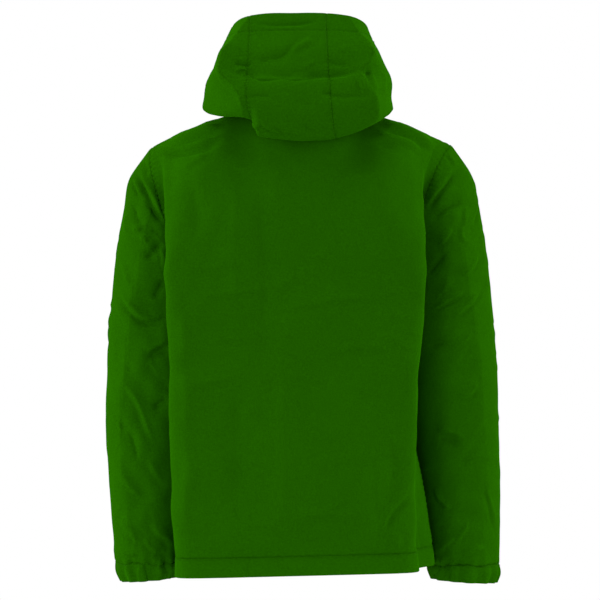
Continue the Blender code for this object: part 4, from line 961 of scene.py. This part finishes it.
def make_mesh(name, points, wrap=False, closed=False, missing=None, flip=False):
    """A grid of points as a mesh. Its UV map is the length along the rows and columns in metres.

    wrap joins the last column to the first, closed joins the last row to the first.
    """
    rows, columns = points.shape[:2]
    r, c = np.meshgrid(np.arange(rows if closed else rows - 1), np.arange(columns if wrap else columns - 1),
                       indexing="ij")
    keep = np.ones(r.shape, bool) if missing is None else ~missing
    r, c = r[keep], c[keep]
    r2, c2 = (r + 1) % rows, (c + 1) % columns
    faces = np.stack([r * columns + c, r * columns + c2, r2 * columns + c2, r2 * columns + c], axis=-1)
    padded = points
    if wrap:
        padded = np.concatenate([padded, padded[:, :1]], axis=1)
    if closed:
        padded = np.concatenate([padded, padded[:1]], axis=0)
    u = from_edge(padded, "first_column")[0] * MM
    v = from_edge(padded, "first_row")[0] * MM
    uv = np.stack([np.stack([u[a, b], v[a, b]], axis=-1)
                   for a, b in ((r, c), (r, c + 1), (r + 1, c + 1), (r + 1, c))], axis=1)
    if flip:
        faces, uv = faces[:, ::-1], uv[:, ::-1]
    used, faces = np.unique(faces, return_inverse=True)
    mesh = bpy.data.meshes.new(name)
    mesh.from_pydata((points.reshape(-1, 3)[used] * MM).tolist(), [], faces.reshape(-1, 4).tolist())
    layer = mesh.uv_layers.new(name="cloth")
    layer.data.foreach_set("uv", uv.astype(np.float32).ravel())
    mesh.shade_smooth()
    return mesh, used


def place(name, mesh, finish, body="garment", replaces=()):
    """Link a mesh as a piece, with its finish, the body it rides on and the CAD nodes it stands for."""
    piece = bpy.data.objects.new(name, mesh)
    bpy.context.scene.collection.objects.link(piece)
    mesh.materials.clear()
    mesh.materials.append(finish)
    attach(piece, body)
    if replaces:
        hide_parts(*replaces)
    return piece


def mark(mesh, used, name, values):
    """Store a number for each point, for the materials to read."""
    layer = mesh.attributes.new(name, "FLOAT", "POINT")
    layer.data.foreach_set("value", np.ascontiguousarray(values.reshape(-1)[used], np.float32))


def seam_shade_nearness(points, edges):
    """1 on the seams, falling off to 0 within a few millimetres: where the cloth's colour is darkened, partly
    for soiling and partly as painted shade in the seam grooves.
    """
    return sum(np.exp(-from_edge(points, edge)[0] / SEAM_SHADE_REACH) for edge in edges).clip(0.0, 1.0)


def wall_piece(name, points, outward, finish, seams=(), wrap=False, missing=None, wall=CLOTH):
    """A single layer of cloth: the grid as an open surface, given its thickness by Solidify."""
    mesh, used = make_mesh(name, points, wrap=wrap, missing=missing, flip=outward > 0.0)
    # the 'seam' value darkens the colour beside seams: partly soiling, partly painted shade in the seam
    # grooves
    mark(mesh, used, "seam", seam_shade_nearness(points, seams) if seams else np.zeros(points.shape[:2]))
    piece = place(name, mesh, finish, replaces=(name,))
    solid = piece.modifiers.new("wall", "SOLIDIFY")
    solid.thickness = wall * MM
    solid.offset = 0.0


def band_piece(name, points, outward, finish, wall=BAND, thin=0.55, fold_steps=7):
    """A band folded double, as one closed form: down its outside, round the fold at its free edge, up inside.

    The grid's first row is the free edge and its last the seam, where the band is pressed to a share of its
    thickness. The two layers swell between the fold and the seam. A row of stitches runs beside the seam.
    """
    normal = normals_of(points, outward, wrap=True)
    share = np.linspace(0.0, 1.0, len(points))[:, None, None]
    half = wall / 2.0 * (1.0 - (1.0 - thin) * share ** 3 + 0.25 * np.sin(math.pi * share))
    turn = np.linspace(0.0, math.pi, fold_steps)[1:-1][:, None, None]
    below = unit(points[0] - points[1])
    fold = points[0] + (normal[0] * np.cos(turn) + below * np.sin(turn)) * wall / 2.0
    loop = np.concatenate([(points + normal * half)[::-1], fold, points - normal * half])
    mesh, used = make_mesh(name, loop, wrap=True, closed=True, flip=outward < 0.0)
    from_seam = from_edge(points, "last_row")[0]
    away = np.concatenate([from_seam[::-1], np.full(fold.shape[:2], FAR), from_seam])
    # the 'seam' value darkens the band's colour near its seam: partly soiling, partly painted shade in the
    # seam groove
    mark(mesh, used, "seam", np.exp(-away / BAND_SEAM_SHADE_REACH))
    place(name, mesh, finish, replaces=(name,))
    beside = line_beside(points, normal, "last_row", BAND_STITCH_AWAY, wall * BAND_STITCH_LIFT)
    rows_of_stitches.append(stitch_row(*beside, closed=True))


def line_beside(points, normals, edge, distance, lift):
    """The line on the cloth's outside that runs beside an edge at a distance, with the cloth's normals on it.

    Each row or column is read at the place where its distance from the edge passes the one given.
    """
    away = from_edge(points, edge)[0]
    if edge.endswith("row"):
        away, points, normals = away.T, points.swapaxes(0, 1), normals.swapaxes(0, 1)
    if edge.startswith("last"):
        away, points, normals = away[:, ::-1], points[:, ::-1], normals[:, ::-1]
    below = np.clip((away <= distance).sum(axis=1) - 1, 0, away.shape[1] - 2)
    at = np.arange(len(away))
    share = ((distance - away[at, below]) / (away[at, below + 1] - away[at, below]))[:, None]
    place_on = points[at, below] * (1.0 - share) + points[at, below + 1] * share
    normal = unit(normals[at, below] * (1.0 - share) + normals[at, below + 1] * share)
    return place_on + normal * lift, normal


def stitch_row(line, normal, closed=False, length=STITCH, pause=STITCH_PAUSE, width=THREAD):
    """Dashes of thread along a line, as one array of points: dash, station along it, point round it.

    Each dash has five stations; its half round section rises from the cloth, is highest in the middle and
    dives in at both ends.
    """
    if closed:
        line, normal = np.concatenate([line, line[:1]]), np.concatenate([normal, normal[:1]])
    run = lengths_along(line)
    count = int(run[-1] / (length + pause))
    share = np.linspace(0.0, 1.0, 5)
    at = ((np.arange(count) + 0.1) * run[-1] / count)[:, None] + share * length
    centre, up = points_at(line, run, at), points_at(normal, run, at)
    along = unit(np.gradient(centre, axis=1))
    up = unit(up - along * (up * along).sum(-1, keepdims=True))
    across = np.cross(along, up)
    angle = np.linspace(0.0, math.pi, 5)
    swell = (np.sin(math.pi * (0.12 + 0.76 * share)) ** 0.5)[None, :, None, None]
    lift = (0.55 * width * np.sin(math.pi * share) - 0.25 * width)[None, :, None, None]
    return (centre[:, :, None] + across[:, :, None] * (np.cos(angle) * width / 2.0)[:, None] * swell
            + up[:, :, None] * ((np.sin(angle) * width * 0.55)[:, None] * swell + lift))


def many_bodies(name, bodies, quads, caps):
    """A mesh of many bodies, each a grid of stations and points round them, with the same faces on each."""
    count, stations, around = bodies.shape[:3]
    shift = (np.arange(count) * stations * around)[:, None, None]
    faces = [(faces[None] + shift).reshape(-1, faces.shape[1]).tolist() for faces in (quads, caps)]
    mesh = bpy.data.meshes.new(name)
    mesh.from_pydata((bodies.reshape(-1, 3) * MM).tolist(), [], faces[0] + faces[1])
    return mesh


def stitches(name, rows, finish):
    """All stitch rows of one thread as one piece."""
    dashes = np.concatenate(rows)
    stations, around = dashes.shape[1:3]
    s, a = np.meshgrid(np.arange(stations - 1), np.arange(around - 1), indexing="ij")
    first = (s * around + a).ravel()
    ring = np.arange(stations - 1) * around
    quads = np.concatenate([
        np.stack([first, first + around, first + around + 1, first + 1], axis=-1),
        np.stack([ring + around - 1, ring + 2 * around - 1, ring + around, ring], axis=-1)])
    caps = np.array([range(around), [stations * around - 1 - k for k in range(around)]])
    mesh = many_bodies(name, dashes, quads, caps)
    mesh.shade_smooth()
    return place(name, mesh, finish)


# ------------------------------------------------------------------ zip
def tape_grid(edge, beside, side, columns=9):
    """One tape: from the teeth to TAPE_REACH, behind the edge of the slot on its own side."""
    reach = (TAPE_REACH - ZIP_SLOT_HALF) / np.abs(beside[:, :1] - edge[:, :1])
    outer = edge + (beside - edge) * reach
    inward = unit(np.cross(unit(np.gradient(edge, axis=0)), outer - edge) * side)
    edge, outer = edge + inward * TAPE_DEPTH, outer + inward * TAPE_DEPTH
    teeth = edge.copy()
    teeth[:, 0] = side * (CHAIN_HALF - TOOTH_HOLD)
    share = np.linspace(0.0, 1.0, columns)[None, :, None]
    bend = (np.abs(edge[:, :1] - teeth[:, :1]) / np.abs(outer[:, :1] - teeth[:, :1]))[:, None]
    low = np.clip(share / bend, 0.0, 1.0)
    high = np.clip((share - bend) / (1.0 - bend), 0.0, 1.0)
    return teeth[:, None] + (edge - teeth)[:, None] * low + (outer - edge)[:, None] * high


def teeth_piece(name, run, finish):
    """The closed teeth: blocks with a domed head, from the two tapes in turn, one every half pitch.

    Each is a row of eight-cornered sections, fullest in its middle and drawn in towards its head.
    """
    length = lengths_along(run)
    count = int(length[-1] / TOOTH_PITCH * 2.0)
    at = (np.arange(count) + 0.5) * length[-1] / count
    centre = points_at(run, length, at)
    up = unit(points_at(run, length, at + 1.0) - points_at(run, length, at - 1.0))
    side = np.where(np.arange(count) % 2 == 0, 1.0, -1.0)
    across = np.stack([side, 0.0 * side, 0.0 * side], axis=-1)
    out = unit(np.cross(across, up)) * side[:, None]
    # stations from the tape to the head: x, half height along the chain, half depth
    profile = np.array([(CHAIN_HALF, 0.42, 0.5), (CHAIN_HALF, 0.48, 1.0), (1.2, 0.5, 1.15), (-0.2, 0.46, 1.1),
                        (-0.9, 0.34, 0.85), (-1.0, 0.16, 0.4)])
    corner = np.array([(-1.0, -0.7), (-0.7, -1.0), (0.7, -1.0), (1.0, -0.7), (1.0, 0.7), (0.7, 1.0),
                       (-0.7, 1.0), (-1.0, 0.7)])
    body = (centre[:, None, None]
            + across[:, None, None] * profile[None, :, None, :1]
            + up[:, None, None] * (profile[:, 1:2] * corner[None, :, 0])[None, ..., None]
            + out[:, None, None] * (profile[:, 2:3] * corner[None, :, 1])[None, ..., None])
    stations, around = len(profile), len(corner)
    s, a = np.meshgrid(np.arange(stations - 1), np.arange(around), indexing="ij")
    a2 = (a + 1) % around
    quads = np.stack([s * around + a, s * around + a2, (s + 1) * around + a2, (s + 1) * around + a],
                     axis=-1).reshape(-1, 4)
    caps = np.array([range(around)[::-1], [(stations - 1) * around + k for k in range(around)]])
    return place(name, many_bodies(name, body, quads, caps), finish, replaces=(name,))


# ------------------------------------------------------------------ materials
def add(tree, kind, settings=None, links=None):
    """Add a node, set its properties and sockets, and link outputs into its inputs."""
    node = tree.nodes.new(kind)
    for key, value in (settings or {}).items():
        if isinstance(key, int) or key in node.inputs:
            node.inputs[key].default_value = value
        else:
            setattr(node, key, value)
    for key, output in (links or {}).items():
        tree.links.new(output, node.inputs[key])
    return node


def new_finish(name):
    """An empty material with its Principled shader and output."""
    finish = bpy.data.materials.new(name)
    finish.use_nodes = True
    tree = finish.node_tree
    return finish, tree, tree.nodes["Principled BSDF"]


def set_shader(tree, shader, values, links):
    """Plain values on the shader's own sockets, and outputs linked into them."""
    for key, value in values.items():
        shader.inputs[key].default_value = value
    for key, output in links.items():
        tree.links.new(output, shader.inputs[key])


def two_shades(name, texture, pattern, shades, values, bump=None, rough=None):
    """A material that runs between two shades after one texture, fixed to the piece.

    bump (strength, distance) and rough (least, most) follow the same texture, where they are given.
    """
    finish, tree, shader = new_finish(name)
    place_on = add(tree, "ShaderNodeTexCoord")
    share = add(tree, texture, pattern, {"Vector": place_on.outputs["Object"]}).outputs["Fac"]
    colour = add(tree, "ShaderNodeMix", {"data_type": "RGBA", 6: linear(shades[0]), 7: linear(shades[1])},
                 {0: share})
    links = {"Base Color": colour.outputs[2]}
    if rough:
        links["Roughness"] = add(tree, "ShaderNodeMapRange", {"To Min": rough[0], "To Max": rough[1]},
                                 {"Value": share}).outputs[0]
    if bump:
        links["Normal"] = add(tree, "ShaderNodeBump", {"Strength": bump[0], "Distance": bump[1]},
                              {"Height": share}).outputs[0]
    set_shader(tree, shader, values, links)
    return finish


def weave(tree, spacing):
    """Height of a plain weave on the cloth's own UV: the product of two sine waves, so that threads of both
    directions rise in turn like the squares of a board."""
    uv = add(tree, "ShaderNodeUVMap", {"uv_map": "cloth"})
    scaled = add(tree, "ShaderNodeVectorMath", {"operation": "SCALE", "Scale": math.pi / (spacing * MM)},
                 {0: uv.outputs[0]})
    wave = add(tree, "ShaderNodeVectorMath", {"operation": "SINE"}, {0: scaled.outputs[0]})
    parts = add(tree, "ShaderNodeSeparateXYZ", links={0: wave.outputs[0]})
    return add(tree, "ShaderNodeMath", {"operation": "MULTIPLY"}, {0: parts.outputs[0], 1: parts.outputs[1]})


def shell_cloth():
    """Plain-woven polyester shell cloth, piece-dyed dark green and calendered on its back.

    To the eye: matt and deep in front, paler where it turns away, since the fine hairs of the thread catch
    the light; a faint broad mottle from the dye, and slightly darker seams, partly pressed and soiled and
    partly painted shade in the seam grooves.
    """
    finish, tree, shader = new_finish("polyester_plain_weave_dyed_green")
    place_on = add(tree, "ShaderNodeTexCoord")
    mottle = add(tree, "ShaderNodeTexNoise", {"Scale": 9.0, "Detail": 3.0, "Roughness": 0.55},
                 {"Vector": place_on.outputs["Object"]})
    slub = add(tree, "ShaderNodeTexNoise", {"Scale": 500.0, "Detail": 2.0, "Roughness": 0.6},
               {"Vector": place_on.outputs["Object"]})
    both = add(tree, "ShaderNodeMix", {"data_type": "FLOAT", 0: 0.86},
               {2: mottle.outputs[0], 3: slub.outputs[0]})
    dye = add(tree, "ShaderNodeValToRGB", links={0: both.outputs[0]})
    dye.color_ramp.elements[0].position = 0.3
    dye.color_ramp.elements[0].color = linear(CLOTH_DARK)
    dye.color_ramp.elements[1].position = 0.7
    dye.color_ramp.elements[1].color = linear(CLOTH_LIGHT)
    # Painted shade: near seams the colour is mixed towards a darker green, partly for soiling and partly for
    # the shade in their grooves.
    seam = add(tree, "ShaderNodeAttribute", {"attribute_name": "seam"})
    seam_shade_amount = add(tree, "ShaderNodeMath", {"operation": "MULTIPLY", 1: 0.2}, {0: seam.outputs["Fac"]})
    colour = add(tree, "ShaderNodeMix", {"data_type": "RGBA", 7: linear(CLOTH_SEAM_SHADE)},
                 {0: seam_shade_amount.outputs[0], 6: dye.outputs[0]})
    rough = add(tree, "ShaderNodeMapRange", {"To Min": 0.66, "To Max": 0.80}, {"Value": slub.outputs[0]})
    # Threads lie 0.35 mm apart in such cloth. They are drawn WEAVE mm apart, which is the finest that shows.
    threads = add(tree, "ShaderNodeBump", {"Strength": 0.35, "Distance": 0.00008},
                  {"Height": weave(tree, WEAVE).outputs[0]})
    # Crinkles of 6 to 15 mm, too slight to be folds, left by wear and packing.
    crinkle = add(tree, "ShaderNodeTexNoise", {"Scale": 75.0, "Detail": 3.0, "Roughness": 0.5,
                                               "Distortion": 0.6}, {"Vector": place_on.outputs["Object"]})
    relief = add(tree, "ShaderNodeBump", {"Strength": 0.25, "Distance": 0.0006},
                 {"Height": crinkle.outputs[0], "Normal": threads.outputs[0]})
    set_shader(tree, shader,
               {"IOR": 1.5, "Specular IOR Level": 0.0, "Specular Tint": linear(GLINT),
                "Sheen Weight": 0.12, "Sheen Roughness": 0.4, "Sheen Tint": linear(HALO)},
               {"Base Color": colour.outputs[2], "Roughness": rough.outputs[0], "Normal": relief.outputs[0]})
    return finish


cloth = shell_cloth()
# Spun polyester sewing thread, dyed to match: a shade paler than the cloth, with a soft gloss.
sewing = two_shades("spun_polyester_thread_green", "ShaderNodeTexNoise", {"Scale": 900.0, "Detail": 1.0},
                    ("#1b5200", "#246600"), {"Roughness": 0.55, "IOR": 1.5, "Specular IOR Level": 0.15,
                                             "Specular Tint": linear(GLINT)})
# Woven polyester zip tape, dyed dark green: a tight twill, closer and duller than the shell cloth.
twill = two_shades("polyester_twill_tape_green", "ShaderNodeTexWave",
                   {"wave_type": "BANDS", "bands_direction": "DIAGONAL", "Scale": 260.0, "Distortion": 0.4},
                   ("#123d00", "#194b00"), {"Roughness": 0.85, "IOR": 1.5, "Specular IOR Level": 0.1},
                   bump=(0.5, 0.0001))
# Stamped and tumbled brass, oxidised to a dull bronze and rubbed paler on its edges and high places.
brass = two_shades("tumbled_brass_oxidised", "ShaderNodeTexNoise",
                   {"Scale": 320.0, "Detail": 4.0, "Roughness": 0.6}, ("#7d755f", "#a69c7f"),
                   {"Metallic": 1.0}, bump=(0.15, 0.00005), rough=(0.28, 0.5))

# ------------------------------------------------------------------ the garment
rows_of_stitches = []

# back panel
back = panel_grid("back", BACK_COLUMNS_FINE, *BACK_ROWS)
normal = normals_of(back, 1.0)
held = held_at_seams(back, ALL_EDGES)
relief = (creased_from_behind(back, normal, BODY_CREASES + scattered(*BACK_SLIGHT)) * held
          + unevenness(back, height=1.0, seed=11) * held)
for seam in BACK_SEAMS:
    relief += seam_relief(back, *seam)
wall_piece("back_panel", back + normal * relief[..., None], 1.0, cloth, ALL_EDGES)

# front panel, with the zip's slot left open
front = front_grid(FRONT_COLUMNS_FINE, *FRONT_ROWS)
normal = normals_of(front, -1.0)
held = held_at_seams(front, ALL_EDGES)
half = FRONT_COLUMNS_FINE // 2
relief = (FRONT_SHARE * creased_in_front(front, normal, BODY_CREASES, FRONT_SHIFT) * held
          + unevenness(front, height=0.5, seed=21) * held)
for seam in FRONT_SEAMS:
    relief += seam_relief(front, *seam)
relief[:, half - SLOT_COLUMNS:half + SLOT_COLUMNS] = 0.0
front = tucked(front + normal * relief[..., None], normal, "first_row")
slot = np.zeros((front.shape[0] - 1, front.shape[1] - 1), bool)
slot[front[:-1, half, 2] >= ZIP_FOOT_Z - 0.5, half - 1] = True
wall_piece("front_panel", front, -1.0, cloth, ALL_EDGES, missing=slot)

# hem band
hem = hem_grid(panel_columns("back", HEM_COLUMNS[0]), panel_columns("front", HEM_COLUMNS[1]), HEM_ROWS)
relief = (unevenness(hem, height=0.5, seed=31) * held_at_seams(hem, ("last_row",))
          + seam_relief(hem, *HEM_SEAM)
          + HEM_FLARE * from_edge(hem, "last_row")[0])
join = int(np.argmin(np.abs(hem[0, :, 0] - BAND_JOIN_X) + 1e3 * (hem[0, :, 1] < 0.0)))
relief[:, join] -= BAND_JOIN_GROOVE
band_piece("hem_band", hem + normals_of(hem, 1.0, wrap=True) * relief[..., None], 1.0, cloth)

# sleeves and cuffs
angles = sleeve_angles(SLEEVE_COLUMNS)
cuff_angles = np.arange(CUFF_COLUMNS) * 2.0 * math.pi / CUFF_COLUMNS
for side, name, rings, cuff_rings, drawn, cuff_drawn, slight, seams, swell, seed in (
        (1.0, "left", SLEEVE_LEFT, CUFF_LEFT, SLEEVE_LEFT_CREASES, CUFF_LEFT_CREASES, SLEEVE_LEFT_SLIGHT,
         SLEEVE_LEFT_SEAMS, 1.6, 42),
        (-1.0, "right", SLEEVE_RIGHT, CUFF_RIGHT, SLEEVE_RIGHT_CREASES, CUFF_RIGHT_CREASES,
         SLEEVE_RIGHT_SLIGHT, SLEEVE_RIGHT_SEAMS, 1.0, 40)):
    sleeve = sleeve_grid(side, rings, SLEEVE_COLUMNS, SLEEVE_ROWS)
    wander_at_seam(sleeve, angles, side)
    normal = normals_of(sleeve, side, wrap=True)
    held = held_at_seams(sleeve, ("first_row",))
    gathers = ((np.cos(CUFF_GATHERS * angles + waves_round(SLEEVE_WANDER, angles, side)) * GATHER_HEIGHT
                + waves_round(FINE_GATHERS, angles, side))
               * np.exp(-(from_edge(sleeve, "last_row")[0] / GATHER_REACH) ** GATHER_FADE))
    lines = drawn + cuff_drawn + scattered(*slight)
    relief = ((creased_from_behind(sleeve, normal, lines)
               + creased_in_front(sleeve, normal, lines, (SLEEVE_SHIFT[0] * side, SLEEVE_SHIFT[1]))) * held
              + creased_at_side(sleeve, normal, drawn, side, SIDE_MIDDLE * side, SIDE_SHIFT)
              + unevenness(sleeve, swell, seed, shortest=22.0, longest=110.0) * held
              * (OUTLINE_SHARE + (1.0 - OUTLINE_SHARE) * normal[..., 1] ** 2) + gathers)
    for seam in seams:
        relief += seam_relief(sleeve, *seam)
    sleeve = tucked(sleeve + normal * relief[..., None], normal, "first_row")
    wall_piece("sleeve_" + name, tucked(sleeve, normal, "last_row"), side, cloth, ("first_row", "last_row"),
               wrap=True)
    cuff = cuff_grid(side, cuff_rings, cuff_angles, CUFF_ROWS)[::-1]
    wander_at_seam(cuff, cuff_angles, side)
    normal = normals_of(cuff, -side, wrap=True)
    cuff = cuff + normal * creased_from_behind(cuff, normal, cuff_drawn)[..., None]
    band_piece("cuff_" + name, cuff, -side, cloth)

# hood
hood = {}
lines = HOOD_CREASES + scattered(*HOOD_SLIGHT)
for part, name, inner_edges, tucked_edge in (
        ("left", "hood_side_left", ("last_column",), "last_column"),
        ("centre", "hood_centre", ("first_column", "last_column"), None),
        ("right", "hood_side_right", ("first_column",), "first_column")):
    points, ways = hood_grid(part, HOOD_COLUMNS[part], HOOD_ROWS)
    normal = normals_of(points, -1.0)
    relief = (creased_from_behind(points, normal, lines)
              * ease((ways - HOOD_CREASES_FROM[0]) / HOOD_CREASES_FROM[1])[:, None]
              + unevenness(points, height=0.5, seed=51) + seam_relief(points, *HOOD_NECK_SEAM)
              + stitched_row_relief(points, ways, RIM_STITCH_WAY))
    for edge in inner_edges:
        relief += seam_relief(points, *HOOD_LONG_SEAMS[edge])
    points = points + normal * relief[..., None]
    if tucked_edge:
        points = tucked(points, normal, tucked_edge, 0.9, 0.4)
    hood[part] = points
    wall_piece(name, points, -1.0, cloth, ("first_row",) + inner_edges)
    normal = normals_of(points, -1.0)
    rim_row = int(np.argmin(np.abs(ways - RIM_STITCH_WAY)))
    rows_of_stitches.append(stitch_row(points[rim_row] + normal[rim_row] * CLOTH / 2, normal[rim_row]))
    if part == "centre":
        for edge in inner_edges:
            beside = line_beside(points, normal, edge, HOOD_STITCH_AWAY, CLOTH / 2)
            rows_of_stitches.append(stitch_row(*beside))

# zip
foot = int(np.argmax(front[:, half, 2] >= ZIP_FOOT_Z)) - 2
for side, name in ((1.0, "left"), (-1.0, "right")):
    at, hood_at = (half, 0) if side > 0.0 else (half - 1, -1)
    step = SLOT_COLUMNS * int(side)
    edge, beside = (np.concatenate([front[foot:, at + away], hood[name][2::4, hood_at + away]])
                    for away in (0, step))
    tape = tape_grid(edge, beside, side)
    outward = unit(np.cross(unit(np.gradient(edge, axis=0)), edge - beside) * side)
    sewn = edge + unit(beside - edge) * ZIP_STITCH_AWAY + outward * CLOTH / 2.0
    rows_of_stitches.append(stitch_row(sewn[3:], outward[3:]))
    wall_piece("zip_tape_" + name, tape, -side, twill, wall=TAPE)
    if side > 0.0:
        run = tape[:, 0].copy()
run[:, 0] = 0.0
run = run[(run[:, 2] > ZIP_FOOT_Z + TEETH_ENDS[0]) & (run[:, 2] < SLIDER_Z + TEETH_ENDS[1])]
teeth_piece("zip_teeth", run, brass)
stitches("stitching", rows_of_stitches, sewing)
for node in ("zip_stop", "zip_slider", "pull_tab"):
    for slot_of_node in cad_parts[node].material_slots:
        slot_of_node.material = brass

# ------------------------------------------------------------------ floor, light and camera
# Matt painted board, pale grey.
board = two_shades("matt_painted_board_pale", "ShaderNodeTexNoise", {"Scale": 40.0, "Detail": 2.0},
                   ("#dcdcdc", "#e2e2e2"), {"Roughness": 0.9})
turns = [k * 2 * math.pi / FLOOR_CORNERS for k in range(FLOOR_CORNERS)]
floor_mesh = bpy.data.meshes.new("studio_floor")
floor_mesh.from_pydata([(math.cos(a) * FLOOR_RADIUS, math.sin(a) * FLOOR_RADIUS, FLOOR_Z) for a in turns], [],
                       [list(range(FLOOR_CORNERS))])
floor_mesh.materials.append(board)
floor = bpy.data.objects.new("studio_floor", floor_mesh)
bpy.context.scene.collection.objects.link(floor)

# Large rectangular area lamps, all pointed at the middle of the garment.
for name, power, size, where in SOFTBOXES:
    lamp_data = bpy.data.lights.new(name, "AREA")
    lamp_data.shape = "RECTANGLE"
    lamp_data.energy = power
    lamp_data.size, lamp_data.size_y = size
    lamp = bpy.data.objects.new(name, lamp_data)
    lamp.location = where
    lamp.rotation_euler = (Vector(LIT_PLACE) - Vector(where)).to_track_quat("-Z", "Y").to_euler()
    bpy.context.scene.collection.objects.link(lamp)

# White paper behind, which the camera sees brighter than it lights the garment.
world = bpy.data.worlds.new("white_studio")
bpy.context.scene.world = world
world.use_nodes = True
nodes = world.node_tree.nodes
nodes["Background"].inputs[0].default_value = (1.0, 1.0, 1.0, 1.0)
nodes["Background"].inputs[1].default_value = AMBIENT
ray = add(world.node_tree, "ShaderNodeLightPath")
paper = add(world.node_tree, "ShaderNodeBackground", {0: (1.0, 1.0, 1.0, 1.0), 1: 1.0})
backdrop = add(world.node_tree, "ShaderNodeMixShader", links={
    0: ray.outputs["Is Camera Ray"], 1: nodes["Background"].outputs[0], 2: paper.outputs[0]})
world.node_tree.links.new(backdrop.outputs[0], nodes["World Output"].inputs[0])
bpy.context.scene.view_settings.view_transform = "Standard"

lens = bpy.data.cameras.new("camera")
lens.sensor_width = 36.0
lens.lens = lens.sensor_width * CAMERA_DISTANCE / FIELD
lens.clip_end = 50.0
camera = bpy.data.objects.new("camera", lens)
camera.location = (0.0, CAMERA_DISTANCE * MM, CAMERA_Z * MM)
camera.rotation_euler = (math.pi / 2.0, 0.0, math.pi)
bpy.context.scene.collection.objects.link(camera)
bpy.context.scene.camera = camera
